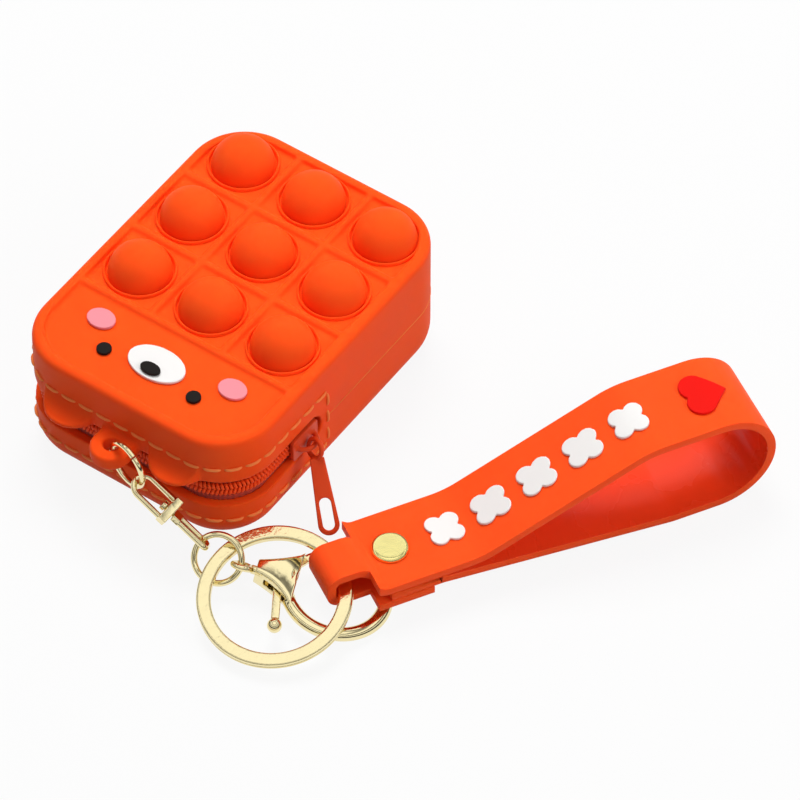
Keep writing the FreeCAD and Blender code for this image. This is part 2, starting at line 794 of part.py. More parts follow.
# Clasp directions: along its axis, across it and out of its flat side
clasp_ring_centre = strap_seat + Vector(clasp_from_seat_side, -clasp_from_seat_front, -clasp_below_seat)
eye_seat_radius = joint_ring_radius - joint_ring_wire - eye_loop_wire - link_gap
joint_carry = joint_out * -1
for settle in range(8):
    eye_seat = joint_centre + joint_carry * eye_seat_radius
    clasp_axis = unit(clasp_ring_centre - eye_seat)
    joint_carry = in_plane(clasp_axis, joint_normal)
clasp_across = unit(up.cross(clasp_axis))
clasp_normal = clasp_axis.cross(clasp_across)
clasp_frame = frame_at(clasp_ring_centre, clasp_axis, clasp_normal)
clasp_reach = (clasp_ring_centre - eye_seat).Length
eye_loop_normal = in_plane(joint_normal.cross(joint_carry), clasp_axis)
collar_u = 2 * eye_loop_radius + eye_loop_wire + clasp_collar_gap - clasp_reach
gate_pivot_u = collar_u + gate_pivot_from_collar


def clasp_eye():
    """Swivel eye on the joint ring, with a stem that turns in the collar."""
    loop = ring(eye_seat + clasp_axis * eye_loop_radius, eye_loop_normal, eye_loop_radius, eye_loop_wire)
    stem_at = eye_seat + clasp_axis * (2 * eye_loop_radius)
    stem_length = eye_loop_wire + clasp_collar_gap + eye_stem_length
    return loop.fuse(Part.makeCylinder(eye_stem_radius, stem_length, stem_at, clasp_axis)).removeSplitter()


def clasp_section(u, half_across, half_high):
    """Rectangle across the clasp's axis."""
    corners = ((-1, -1), (1, -1), (1, 1), (-1, 1), (-1, -1))
    return Part.makePolygon([Vector(u, a * half_across, b * half_high) for a, b in corners])


def clasp_arc(start, end, half_across, half_high):
    """Oval wire round the clasp's ring between two angles."""
    section = Part.Ellipse(Vector(0, 0, 0), half_across, half_high).toShape()
    section.rotate(Vector(0, 0, 0), Vector(1, 0, 0), 90)
    section.translate(Vector(clasp_ring_radius, 0, 0))
    section.rotate(Vector(0, 0, 0), up, start)
    face = Part.Face(Part.Wire([section]))
    return face.revolve(Vector(0, 0, 0), up, end - start)


def clasp_body():
    """Cast body with its collar, cheeks and fixed hook."""
    turn = math.radians(clasp_body_end_angle)
    wide_u = clasp_ring_radius * math.cos(turn)
    waist_u = collar_u + (wide_u - collar_u) * clasp_waist_share
    sections = [clasp_section(collar_u, clasp_collar_half_width, clasp_collar_half_height),
                clasp_section(waist_u, clasp_waist_half_width, clasp_collar_half_height),
                clasp_section(wide_u, clasp_ring_radius * math.sin(turn) + clasp_wire_half_width,
                              clasp_cheek_half_height)]
    body = Part.makeLoft(sections, True)
    body = body.makeFillet(clasp_edge_round, [e for e in body.Edges if e.BoundBox.XLength > clasp_edge_round])
    high = clasp_cheek_half_height + cut_overrun
    opening = Part.makeCylinder(clasp_ring_radius - clasp_wire_half_width, 2 * high, Vector(0, 0, -high))
    slot = box(collar_u + clasp_slot_from_collar, 0, -clasp_ring_radius, clasp_ring_radius,
               -clasp_slot_half_height, clasp_slot_half_height)
    hook_root = Part.makeCylinder(clasp_ring_radius + clasp_wire_half_width, 2 * high, Vector(0, 0, -high))
    lower_side = box(-2 * clasp_ring_radius, 0, -2 * clasp_ring_radius, -clasp_root_from_axis, -high, high)
    slot = slot.cut(hook_root.common(lower_side))
    stem = Part.makeCylinder(eye_stem_radius + eye_stem_play, eye_stem_length + eye_stem_play,
                             Vector(collar_u, 0, 0), Vector(1, 0, 0))
    pin = Part.makeCylinder(gate_pin_radius, 2 * high, Vector(gate_pivot_u, 0, -high))
    tip_turn = math.radians(clasp_hook_end + gate_tip_angle)
    tip = Vector(math.cos(tip_turn), math.sin(tip_turn), 0) * (clasp_ring_radius + gate_arm_half_width)
    swing = (tip - Vector(gate_pivot_u, 0, 0)).Length + gate_tip_gap
    notch = Part.makeCylinder(swing, 2 * clasp_slot_half_height,
                              Vector(gate_pivot_u, 0, -clasp_slot_half_height))
    notch = notch.common(box(0, swing, 0, swing, -high, high))
    body = body.cut(opening).fuse(clasp_arc(clasp_hook_start, clasp_hook_end, clasp_wire_half_width,
                                            clasp_wire_half_height))
    body = body.cut([slot, stem, pin, notch]).removeSplitter()
    body.Placement = clasp_frame
    return body


def clasp_gate():
    """Sprung gate: arm along the ring, hub on the pin and thumb lever with a ball."""
    tip = clasp_hook_end - 360 + gate_tip_angle
    arm = clasp_arc(tip, clasp_body_end_angle, gate_arm_half_width, gate_half_height)
    turn = math.radians(clasp_body_end_angle)
    root = Vector(clasp_ring_radius * math.cos(turn), clasp_ring_radius * math.sin(turn), 0)
    pivot = Vector(gate_pivot_u, 0, 0)
    hub = Part.makeCylinder(gate_hub_radius, 2 * gate_half_height, pivot - up * gate_half_height)
    reach = root - pivot
    bridge = Part.makeBox(reach.Length + gate_arm_half_width, 2 * gate_arm_half_width, 2 * gate_half_height,
                          Vector(0, -gate_arm_half_width, -gate_half_height))
    bridge.Placement = Placement(pivot, Rotation(Vector(1, 0, 0), reach))
    ball_at = Vector(lever_ball_u, lever_ball_v, 0)
    lever = Part.makeBox((ball_at - pivot).Length, 2 * lever_half_width, 2 * gate_half_height,
                         Vector(0, -lever_half_width, -gate_half_height))
    lever.Placement = Placement(pivot, Rotation(Vector(1, 0, 0), ball_at - pivot))
    ball = Part.makeSphere(lever_ball_radius, ball_at)
    bore = Part.makeCylinder(gate_pin_radius + gate_pin_play, 2 * cut_overrun, pivot - up * cut_overrun)
    gate = arm.fuse([hub, bridge, lever, ball]).cut(bore).removeSplitter()
    gate.Placement = clasp_frame
    return gate


def clasp_pin():
    """Pin of the gate, seated in the body's cheeks."""
    pin = Part.makeCylinder(gate_pin_radius, 2 * clasp_cheek_half_height,
                            Vector(gate_pivot_u, 0, -clasp_cheek_half_height))
    pin.Placement = clasp_frame
    return pin


# Wrist strap, laid along its heading from the key ring
strap_turn = math.radians(strap_heading)
strap_run = Vector(math.cos(strap_turn), math.sin(strap_turn), 0)
strap_frame = Placement(Vector(strap_seat.x, strap_seat.y, 0), Rotation(Vector(1, 0, 0), strap_run))
band_half_diagonal = math.hypot(key_ring_band, key_ring_thickness) / 2
loop_radius = band_half_diagonal + strap_neck_clearance + strap_thickness / 2
tab_level = strap_seat.z - loop_radius
lower_level = tab_level + strap_thickness + strap_layer_gap
top_level = lower_level + strap_thickness + strap_layer_gap
floor_level = strap_thickness / 2 + strap_floor_gap
far_line = strap_far_end - strap_thickness / 2
far_top_level = floor_level + 2 * strap_far_bend + strap_far_straight


def rounded_path(corners):
    """Lines between corner points, joined by tangent arcs of each corner's own radius."""
    edges = []
    start = corners[0][0]
    for i in range(1, len(corners) - 1):
        point, radius = corners[i]
        into = unit(point - corners[i - 1][0])
        out = unit(corners[i + 1][0] - point)
        turn = into.getAngle(out)
        back = radius * math.tan(turn / 2)
        first = point - into * back
        last = point + out * back
        middle = point + unit(out - into) * (radius / math.cos(turn / 2) - radius)
        edges.append(Part.makeLine(start, first))
        edges.append(Part.Arc(first, middle, last).toShape())
        start = last
    edges.append(Part.makeLine(start, corners[-1][0]))
    return edges


def strap_point(distance, level):
    """Point on the strap's middle line before it is turned to its heading."""
    return Vector(distance, 0, level)


def strap_top_corners():
    """Corners of the strap's upper layer, from the far bend towards the rivet."""
    return [(strap_point(far_line, far_top_level), strap_far_bend),
            (strap_point(strap_crest, far_top_level), strap_crest_bend),
            (strap_point(strap_top_level_end, top_level), strap_crest_bend)]


def strap_corners():
    """Corners of the strap's side view, from the end under the rivet to the tab."""
    loop_top = strap_seat.z + loop_radius
    lower = [(strap_point(strap_lower_end, lower_level), 0),
             (strap_point(strap_descent_start, lower_level), strap_bend),
             (strap_point(strap_descent_end, floor_level), strap_bend),
             (strap_point(far_line, floor_level), strap_far_bend)]
    neck = [(strap_point(strap_neck_start, top_level), strap_neck_bend),
            (strap_point(strap_neck_crest, loop_top), strap_neck_bend),
            (strap_point(-strap_loop_back, loop_top), strap_loop_bend),
            (strap_point(-strap_loop_back, tab_level), strap_loop_bend),
            (strap_point(strap_tab_end, tab_level), 0)]
    return lower + strap_top_corners() + neck


def strap_band(thickness, half_across):
    """Flat band swept along the strap's side view."""
    path = Part.Wire(rounded_path(strap_corners()))
    start = strap_point(strap_lower_end, lower_level)
    half = thickness / 2
    points = [start + Vector(0, a * half_across, b * half)
              for a, b in ((-1, -1), (1, -1), (1, 1), (-1, 1), (-1, -1))]
    return path.makePipeShell([Part.makePolygon(points)], True, False)


def wrist_strap():
    """Moulded wrist strap: far loop, neck round the key ring and riveted ends."""
    band = strap_band(strap_thickness, strap_width / 2)
    notch_back = -strap_loop_back - cut_overrun
    notches = []
    for side in (-1, 1):
        low, high = sorted((side * strap_neck_width / 2, side * (strap_width / 2 + cut_overrun)))
        notches.append(box(notch_back, strap_shoulder, low, high, -cut_overrun, purse_height))
    rivet_hole = Part.makeCylinder(rivet_post_radius + rivet_hole_play, purse_height,
                                   Vector(rivet_from_ring, 0, 0))
    band = band.cut(notches + [rivet_hole])
    band.Placement = strap_frame
    return band


def rivet_cap():
    """Low domed head and post of the rivet."""
    top = top_level + strap_thickness / 2
    foot = tab_level - strap_thickness / 2
    head = Part.makeCylinder(rivet_cap_radius, rivet_cap_height, Vector(rivet_from_ring, 0, top))
    head = head.makeFillet(rivet_cap_height * rivet_dome_share, edges_at_level(head, top + rivet_cap_height))
    post = Part.makeCylinder(rivet_post_radius, top - foot, Vector(rivet_from_ring, 0, foot))
    solid = head.fuse(post).removeSplitter()
    solid.Placement = strap_frame
    return solid


def rivet_back():
    """Flat washer that closes the rivet under the strap."""
    foot = tab_level - strap_thickness / 2
    solid = Part.makeCylinder(rivet_back_radius, rivet_back_height,
                              Vector(rivet_from_ring, 0, foot - rivet_back_height))
    solid.Placement = strap_frame
    return solid


def on_top_layer(columns):
    """Low raised inlays that follow the strap's upper layer, one where each upright column meets it."""
    start = strap_point(far_line, (floor_level + far_top_level) / 2)
    corners = [(start, 0)] + strap_top_corners() + [(strap_point(strap_neck_start, top_level), 0)]
    inner = strap_thickness / 2
    outer = inner + motif_height
    points = [start + Vector(a, b * strap_width / 2, 0)
              for a, b in ((inner, -1), (outer, -1), (outer, 1), (inner, 1), (inner, -1))]
    layer = Part.Wire(rounded_path(corners)).makePipeShell([Part.makePolygon(points)], True, False)
    inlays = [layer.common(column).removeSplitter() for column in columns]
    solids = Part.makeCompound([solid for inlay in inlays for solid in inlay.Solids])
    solids.Placement = strap_frame
    return solids


def strap_motifs():
    """Row of raised four-petal flowers along the strap."""
    columns = []
    for i in range(motif_count):
        middle = strap_point(motif_start + i * motif_pitch, top_level)
        petals = []
        for quarter in range(4):
            turn = math.radians(45 + 90 * quarter)
            out = Vector(math.cos(turn), math.sin(turn), 0) * petal_offset
            petals.append(Part.makeCylinder(petal_radius, purse_height, middle + out))
        heart_of_flower = Part.makeCylinder(petal_offset, purse_height, middle)
        columns.append(petals[0].fuse(petals[1:] + [heart_of_flower]).removeSplitter())
    return on_top_layer(columns)


def strap_heart():
    """Raised heart near the far bend, lying across the strap."""
    lobe = heart_lobe_radius
    corner = box(-lobe, lobe, -lobe, lobe, 0, purse_height)
    first = Part.makeCylinder(lobe, purse_height, Vector(lobe, 0, 0))
    second = Part.makeCylinder(lobe, purse_height, Vector(0, lobe, 0))
    column = corner.fuse([first, second]).removeSplitter()
    column.rotate(Vector(0, 0, 0), up, heart_turn)
    column.translate(strap_point(heart_from_ring, top_level))
    return on_top_layer([column])


# All the pieces
save("lid_shell", lid_shell())
save("base_shell", base_shell())
save("rear_hinge_web", rear_web())
for index, place in enumerate(bubble_places):
    save("bubble_" + str(index + 1), bubble(place))
save("zip_tape_upper", zip_tape(zip_level + tape_half_gap, zip_level + tape_reach))
tape_foot = max(zip_level - tape_reach, floor_thickness + base_edge_round - wall + tape_gap)
save("zip_tape_lower", zip_tape(tape_foot, zip_level - tape_half_gap))
save("zip_teeth_upper", zip_teeth(True))
save("zip_teeth_lower", zip_teeth(False))
save("zip_end_stop", zip_stop())
save("zip_slider", zip_slider())
save("zip_pull", zip_pull())
save("face_muzzle", face_inlay([(0, face_middle_y)], muzzle_half_width, muzzle_half_depth))
cheek_y = face_middle_y + cheek_back
save("face_cheeks", face_inlay([(-cheek_offset, cheek_y), (cheek_offset, cheek_y)],
                               cheek_half_width, cheek_half_depth))
eye_y = face_middle_y - eye_forward
save("face_eyes", face_inlay([(-eye_offset, eye_y), (eye_offset, eye_y)], eye_radius, eye_radius))
nose = face_inlay([(0, face_middle_y - nose_forward)], nose_half_width, nose_half_depth)
nose.translate(Vector(0, 0, inlay_height))
save("face_nose", nose)
save("lug_ring", lug_ring())
save("swivel_upper_link", swivel_upper_link())
save("swivel_pin", swivel_pin())
save("swivel_lower_link", swivel_lower_link())
save("joint_ring", ring(joint_centre, joint_normal, joint_ring_radius, joint_ring_wire))
save("key_ring", key_ring())
save("clasp_eye", clasp_eye())
save("clasp_body", clasp_body())
save("clasp_gate", clasp_gate())
save("clasp_pin", clasp_pin())
save("wrist_strap", wrist_strap())
save("rivet_cap", rivet_cap())
save("rivet_back", rivet_back())
save("strap_motifs", strap_motifs())
save("strap_heart", strap_heart())
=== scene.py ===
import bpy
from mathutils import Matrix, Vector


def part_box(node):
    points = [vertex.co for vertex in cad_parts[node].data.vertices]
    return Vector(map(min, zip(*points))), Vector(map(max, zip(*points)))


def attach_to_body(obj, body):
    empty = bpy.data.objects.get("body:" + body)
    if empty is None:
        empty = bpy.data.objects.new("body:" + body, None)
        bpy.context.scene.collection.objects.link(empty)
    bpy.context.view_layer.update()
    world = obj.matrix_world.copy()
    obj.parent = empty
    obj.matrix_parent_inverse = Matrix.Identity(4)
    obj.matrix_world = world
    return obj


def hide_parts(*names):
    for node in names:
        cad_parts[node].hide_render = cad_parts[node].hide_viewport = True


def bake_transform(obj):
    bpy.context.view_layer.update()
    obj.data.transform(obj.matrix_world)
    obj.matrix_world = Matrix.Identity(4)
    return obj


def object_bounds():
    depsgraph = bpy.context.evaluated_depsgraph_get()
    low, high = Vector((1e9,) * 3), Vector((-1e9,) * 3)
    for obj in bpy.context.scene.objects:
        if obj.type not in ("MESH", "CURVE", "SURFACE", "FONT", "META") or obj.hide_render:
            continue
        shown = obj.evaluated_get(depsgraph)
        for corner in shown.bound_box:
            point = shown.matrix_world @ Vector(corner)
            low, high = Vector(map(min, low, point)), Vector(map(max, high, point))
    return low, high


bl_info = {
    "name": "Squeeze Coin Purse",
    "version": (1, 0, 0),
    "blender": (4, 5, 0),
    "location": "3D View > Sidebar > Coin Purse",
    "description": "Dresses a moulded zip purse with its bubbles, ring chain, clasp and wrist strap",
    "category": "Object",
}

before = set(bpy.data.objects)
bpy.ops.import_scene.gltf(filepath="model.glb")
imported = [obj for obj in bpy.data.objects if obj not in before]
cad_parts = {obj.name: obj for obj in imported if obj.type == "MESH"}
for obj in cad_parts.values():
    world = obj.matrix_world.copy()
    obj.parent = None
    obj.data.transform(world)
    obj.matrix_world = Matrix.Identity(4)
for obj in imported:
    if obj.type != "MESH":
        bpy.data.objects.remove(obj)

import functools
import math

import bmesh
import bpy
from bpy.props import FloatProperty, FloatVectorProperty, IntProperty, PointerProperty
from mathutils import Matrix, Vector
from mathutils.bvhtree import BVHTree

cad_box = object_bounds()
MM = 0.001
# Points nearer than this count as one.
TOUCH = 0.001 * MM
BUBBLES = range(1, 10)


@functools.lru_cache(maxsize=None)
def cad_corners(node):
    """Lowest and highest corner of a CAD node."""
    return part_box(node)


def cad_low(node):
    """Lowest corner of a CAD node."""
    return Vector(cad_corners(node)[0])


def cad_high(node):
    """Highest corner of a CAD node."""
    return Vector(cad_corners(node)[1])


class PurseSizes(bpy.types.PropertyGroup):
    """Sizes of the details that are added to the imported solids."""

    shell_grain: FloatProperty(name="Shell Mesh", description="Cell size of the moulded shell's mesh",
                               default=0.34 * MM, precision=5, unit="LENGTH")
    strap_edge: FloatProperty(name="Strap Edge", description="Rounding of the strap's edges",
                              default=0.35 * MM, precision=5, unit="LENGTH")
    fine_grain: FloatProperty(name="Fine Mesh", description="Cell size of small moulded and cast pieces",
                              default=0.14 * MM, precision=5, unit="LENGTH")
    collar_width: FloatProperty(name="Collar Width", description="Width of the ring round a bubble",
                                default=0.62 * MM, precision=5, unit="LENGTH")
    collar_gap: FloatProperty(name="Collar Gap", description="Groove between a bubble and its ring",
                              default=0.36 * MM, precision=5, unit="LENGTH")
    collar_height: FloatProperty(name="Collar Height", description="Height of the ring round a bubble",
                                 default=0.72 * MM, precision=5, unit="LENGTH")
    coil_pitch: FloatProperty(name="Coil Pitch", description="Distance from one zip coil to the next",
                              default=0.82 * MM, precision=5, unit="LENGTH")
    coil_depth: FloatProperty(name="Coil Depth", description="Half of a zip coil's depth",
                              default=0.34 * MM, precision=5, unit="LENGTH")
    coil_radius: FloatProperty(name="Coil Radius", description="Half of a zip coil's height",
                               default=0.5 * MM, precision=5, unit="LENGTH")
    coil_wire: FloatProperty(name="Coil Wire", description="Half of the coil wire's width",
                             default=0.34 * MM, precision=5, unit="LENGTH")
    cheek_swell: FloatProperty(name="Cheek Swell", description="Crown of the clasp's cheeks",
                               default=0.9 * MM, precision=5, unit="LENGTH")
    cheek_reach: FloatProperty(name="Cheek Reach", description="Radius of the clasp's crown",
                               default=6.5 * MM, precision=5, unit="LENGTH")
    cheek_from: FloatProperty(name="Cheek Start",
                              description="Distance of the crown from the clasp's middle plane",
                              default=1.1 * MM, precision=5, unit="LENGTH")
    mould_line: FloatProperty(name="Mould Line", description="Half of the width of the rear mould line",
                              default=0.13 * MM, precision=5, unit="LENGTH")
    corner_radius: FloatProperty(name="Corner Radius", description="Radius of the purse's upright corners",
                                 default=12.0 * MM, precision=5, unit="LENGTH")
    stitch_pitch: FloatProperty(name="Stitch Pitch", description="Distance from one stitch to the next",
                                default=4.1 * MM, precision=5, unit="LENGTH")
    stitch_length: FloatProperty(name="Stitch Length", description="Length of one stitch",
                                 default=3.2 * MM, precision=5, unit="LENGTH")
    stitch_radius: FloatProperty(name="Stitch Radius", description="Half of a stitch's width",
                                 default=0.31 * MM, precision=5, unit="LENGTH")
    stitch_from_slot: FloatProperty(name="Stitch Distance",
                                    description="Distance of each seam from the zip slot",
                                    default=4.2 * MM, precision=5, unit="LENGTH")
    stitch_end: FloatProperty(name="Stitch End", description="How far the seam runs behind the zip slot",
                              default=1.9 * MM, precision=5, unit="LENGTH")
    dome_rings: IntProperty(name="Dome Rings", description="Rings of faces on a bubble's dome",
                            default=22, min=6)
    dome_sides: IntProperty(name="Dome Sides", description="Faces round a bubble", default=72, min=12)


class PurseColours(bpy.types.PropertyGroup):
    """Colours of the finishes."""

    silicone: FloatVectorProperty(name="Silicone", description="Shell, bubbles and zip teeth",
                                  subtype="COLOR", size=4, default=(1.0, 0.088, 0.010, 1.0), min=0, max=1)
    # Paler than the silicone: painted highlight on the raised stitches and the mould line.
    thread: FloatVectorProperty(name="Thread", description="Moulded stitches and mould line",
                                subtype="COLOR", size=4, default=(1.0, 0.27, 0.075, 1.0), min=0, max=1)
    # Darker than the outer side: painted shade for the faces inside the wrist loop, which are also glossy.
    strap_inside_shaded: FloatVectorProperty(name="Strap Inside", description="Glossy inner side of the strap",
                                      subtype="COLOR", size=4, default=(0.88, 0.052, 0.010, 1.0),
                                      min=0, max=1)
    strap: FloatVectorProperty(name="Strap", description="Outer side of the strap", subtype="COLOR",
                               size=4, default=(1.0, 0.088, 0.014, 1.0), min=0, max=1)
    zip_paint: FloatVectorProperty(name="Zip Paint", description="Slider and pull", subtype="COLOR",
                                   size=4, default=(0.74, 0.068, 0.014, 1.0), min=0, max=1)
    tape: FloatVectorProperty(name="Zip Tape", description="Woven tape behind the teeth", subtype="COLOR",
                              size=4, default=(0.62, 0.045, 0.010, 1.0), min=0, max=1)
    gold: FloatVectorProperty(name="Gold", description="Plated rings and clasp", subtype="COLOR",
                              size=4, default=(0.92, 0.80, 0.46, 1.0), min=0, max=1)
    rivet: FloatVectorProperty(name="Rivet", description="Brighter plating of the rivet", subtype="COLOR",
                               size=4, default=(0.94, 0.84, 0.34, 1.0), min=0, max=1)
    white: FloatVectorProperty(name="White", description="Muzzle and flowers", subtype="COLOR",
                               size=4, default=(0.78, 0.77, 0.755, 1.0), min=0, max=1)
    pink: FloatVectorProperty(name="Pink", description="Cheeks", subtype="COLOR",
                              size=4, default=(0.80, 0.265, 0.305, 1.0), min=0, max=1)
    black: FloatVectorProperty(name="Black", description="Eyes and nose", subtype="COLOR",
                               size=4, default=(0.012, 0.010, 0.009, 1.0), min=0, max=1)
    heart: FloatVectorProperty(name="Heart", description="Heart on the strap", subtype="COLOR",
                               size=4, default=(0.76, 0.009, 0.006, 1.0), min=0, max=1)


def sizes():
    """Size settings of this scene."""
    return bpy.context.scene.purse_sizes


def colours():
    """Colour settings of this scene."""
    return bpy.context.scene.purse_colours


def group_with_sockets(name, inputs, outputs):
    """New shader node group with named sockets."""
    group = bpy.data.node_groups.new(name, "ShaderNodeTree")
    for label, kind, value in inputs:
        socket = group.interface.new_socket(name=label, in_out="INPUT", socket_type=kind)
        socket.default_value = value
    for label, kind in outputs:
        group.interface.new_socket(name=label, in_out="OUTPUT", socket_type=kind)
    return group


def moulded_skin_group():
    """Slow colour drift, roughness drift and a fine pebble for moulded soft pieces."""
    name = "Moulded Skin"
    if name in bpy.data.node_groups:
        return bpy.data.node_groups[name]
    group = group_with_sockets(
        name,
        [("Color", "NodeSocketColor", (0.8, 0.1, 0.02, 1.0)), ("Drift", "NodeSocketFloat", 0.10),
         ("Roughness", "NodeSocketFloat", 0.5), ("Pebble Scale", "NodeSocketFloat", 4200.0)],
        [("Color", "NodeSocketColor"), ("Roughness", "NodeSocketFloat"), ("Height", "NodeSocketFloat")])
    nodes, links = group.nodes, group.links
    given = nodes.new("NodeGroupInput")
    result = nodes.new("NodeGroupOutput")
    place = nodes.new("ShaderNodeTexCoord")
    cloud = nodes.new("ShaderNodeTexNoise")
    cloud.inputs["Scale"].default_value = 85.0
    cloud.inputs["Detail"].default_value = 3.0
    links.new(place.outputs["Object"], cloud.inputs["Vector"])
    shade = nodes.new("ShaderNodeMapRange")
    shade.inputs["From Min"].default_value = 0.3
    shade.inputs["From Max"].default_value = 0.7
    shade.inputs["To Max"].default_value = 1.0
    lower = nodes.new("ShaderNodeMath")
    lower.operation = "SUBTRACT"
    lower.inputs[0].default_value = 1.0
    links.new(given.outputs["Drift"], lower.inputs[1])
    links.new(cloud.outputs["Fac"], shade.inputs["Value"])
    links.new(lower.outputs[0], shade.inputs["To Min"])
    tint = nodes.new("ShaderNodeVectorMath")
    tint.operation = "SCALE"
    links.new(given.outputs["Color"], tint.inputs[0])
    links.new(shade.outputs["Result"], tint.inputs["Scale"])
    links.new(tint.outputs["Vector"], result.inputs["Color"])
    rough = nodes.new("ShaderNodeMath")
    rough.operation = "MULTIPLY_ADD"
    links.new(cloud.outputs["Fac"], rough.inputs[0])
    rough.inputs[1].default_value = 0.16
    links.new(given.outputs["Roughness"], rough.inputs[2])
    links.new(rough.outputs[0], result.inputs["Roughness"])
    pebble = nodes.new("ShaderNodeTexNoise")
    pebble.inputs["Detail"].default_value = 2.0
    links.new(place.outputs["Object"], pebble.inputs["Vector"])
    links.new(given.outputs["Pebble Scale"], pebble.inputs["Scale"])
    links.new(pebble.outputs["Fac"], result.inputs["Height"])
    return group


def plated_wear_group():
    """Fine hazing and tiny scuffs for plated and painted metal."""
    name = "Plated Wear"
    if name in bpy.data.node_groups:
        return bpy.data.node_groups[name]
    group = group_with_sockets(
        name,
        [("Color", "NodeSocketColor", (0.8, 0.6, 0.3, 1.0)), ("Roughness", "NodeSocketFloat", 0.12),
         ("Haze", "NodeSocketFloat", 0.12), ("Scuff Scale", "NodeSocketFloat", 2600.0)],
        [("Color", "NodeSocketColor"), ("Roughness", "NodeSocketFloat"), ("Height", "NodeSocketFloat")])
    nodes, links = group.nodes, group.links
    given = nodes.new("NodeGroupInput")
    result = nodes.new("NodeGroupOutput")
    place = nodes.new("ShaderNodeTexCoord")
    cloud = nodes.new("ShaderNodeTexNoise")
    cloud.inputs["Scale"].default_value = 320.0
    cloud.inputs["Detail"].default_value = 4.0
    links.new(place.outputs["Object"], cloud.inputs["Vector"])
    rough = nodes.new("ShaderNodeMath")
    rough.operation = "MULTIPLY_ADD"
    links.new(cloud.outputs["Fac"], rough.inputs[0])
    links.new(given.outputs["Haze"], rough.inputs[1])
    links.new(given.outputs["Roughness"], rough.inputs[2])
    links.new(rough.outputs[0], result.inputs["Roughness"])
    shade = nodes.new("ShaderNodeMapRange")
    shade.inputs["From Min"].default_value = 0.25
    shade.inputs["From Max"].default_value = 0.75
    shade.inputs["To Min"].default_value = 0.93
    shade.inputs["To Max"].default_value = 1.0
    links.new(cloud.outputs["Fac"], shade.inputs["Value"])
    tint = nodes.new("ShaderNodeVectorMath")
    tint.operation = "SCALE"
    links.new(given.outputs["Color"], tint.inputs[0])
    links.new(shade.outputs["Result"], tint.inputs["Scale"])
    links.new(tint.outputs["Vector"], result.inputs["Color"])
    scuff = nodes.new("ShaderNodeTexNoise")
    links.new(given.outputs["Scuff Scale"], scuff.inputs["Scale"])
    scuff.inputs["Detail"].default_value = 2.0
    links.new(place.outputs["Object"], scuff.inputs["Vector"])
    links.new(scuff.outputs["Fac"], result.inputs["Height"])
    return group


def new_material(name):
    """Material with an empty tree, a Principled shader and its output."""
    material = bpy.data.materials.new(name)
    material.use_nodes = True
    tree = material.node_tree
    tree.nodes.clear()
    shader = tree.nodes.new("ShaderNodeBsdfPrincipled")
    output = tree.nodes.new("ShaderNodeOutputMaterial")
    tree.links.new(shader.outputs["BSDF"], output.inputs["Surface"])
    return material, tree, shader


def add_bump(tree, shader, height, strength, distance):
    """Bump from a height socket into the shader's normal."""
    bump = tree.nodes.new("ShaderNodeBump")
    bump.inputs["Strength"].default_value = strength
    bump.inputs["Distance"].default_value = distance
    tree.links.new(height, bump.inputs["Height"])
    tree.links.new(bump.outputs["Normal"], shader.inputs["Normal"])


def moulded(name, colour, roughness, drift, bump, specular=0.1, inner_glow=0.0):
    """Matte or satin moulded silicone."""
    if name in bpy.data.materials:
        return bpy.data.materials[name]
    material, tree, shader = new_material(name)
    skin = tree.nodes.new("ShaderNodeGroup")
    skin.node_tree = moulded_skin_group()
    skin.inputs["Color"].default_value = tuple(colour)
    skin.inputs["Roughness"].default_value = roughness
    skin.inputs["Drift"].default_value = drift
    tree.links.new(skin.outputs["Color"], shader.inputs["Base Color"])
    tree.links.new(skin.outputs["Roughness"], shader.inputs["Roughness"])
    shader.inputs["Specular IOR Level"].default_value = specular
    shader.inputs["Subsurface Weight"].default_value = inner_glow
    shader.inputs["Subsurface Radius"].default_value = (1.0, 0.16, 0.05)
    shader.inputs["Subsurface Scale"].default_value = 1.6 * MM
    pebble_depth = 0.02 * MM
    add_bump(tree, shader, skin.outputs["Height"], bump, pebble_depth)
    return material


def plated(name, colour, roughness, haze, metallic, bump, scuff_scale=2600.0, scuff_depth=0.03 * MM):
    """Plated or painted metal."""
    if name in bpy.data.materials:
        return bpy.data.materials[name]
    material, tree, shader = new_material(name)
    wear = tree.nodes.new("ShaderNodeGroup")
    wear.node_tree = plated_wear_group()
    wear.inputs["Color"].default_value = tuple(colour)
    wear.inputs["Roughness"].default_value = roughness
    wear.inputs["Haze"].default_value = haze
    wear.inputs["Scuff Scale"].default_value = scuff_scale
    tree.links.new(wear.outputs["Color"], shader.inputs["Base Color"])
    tree.links.new(wear.outputs["Roughness"], shader.inputs["Roughness"])
    shader.inputs["Metallic"].default_value = metallic
    shader.inputs["Specular IOR Level"].default_value = 0.25
    add_bump(tree, shader, wear.outputs["Height"], bump, scuff_depth)
    return material


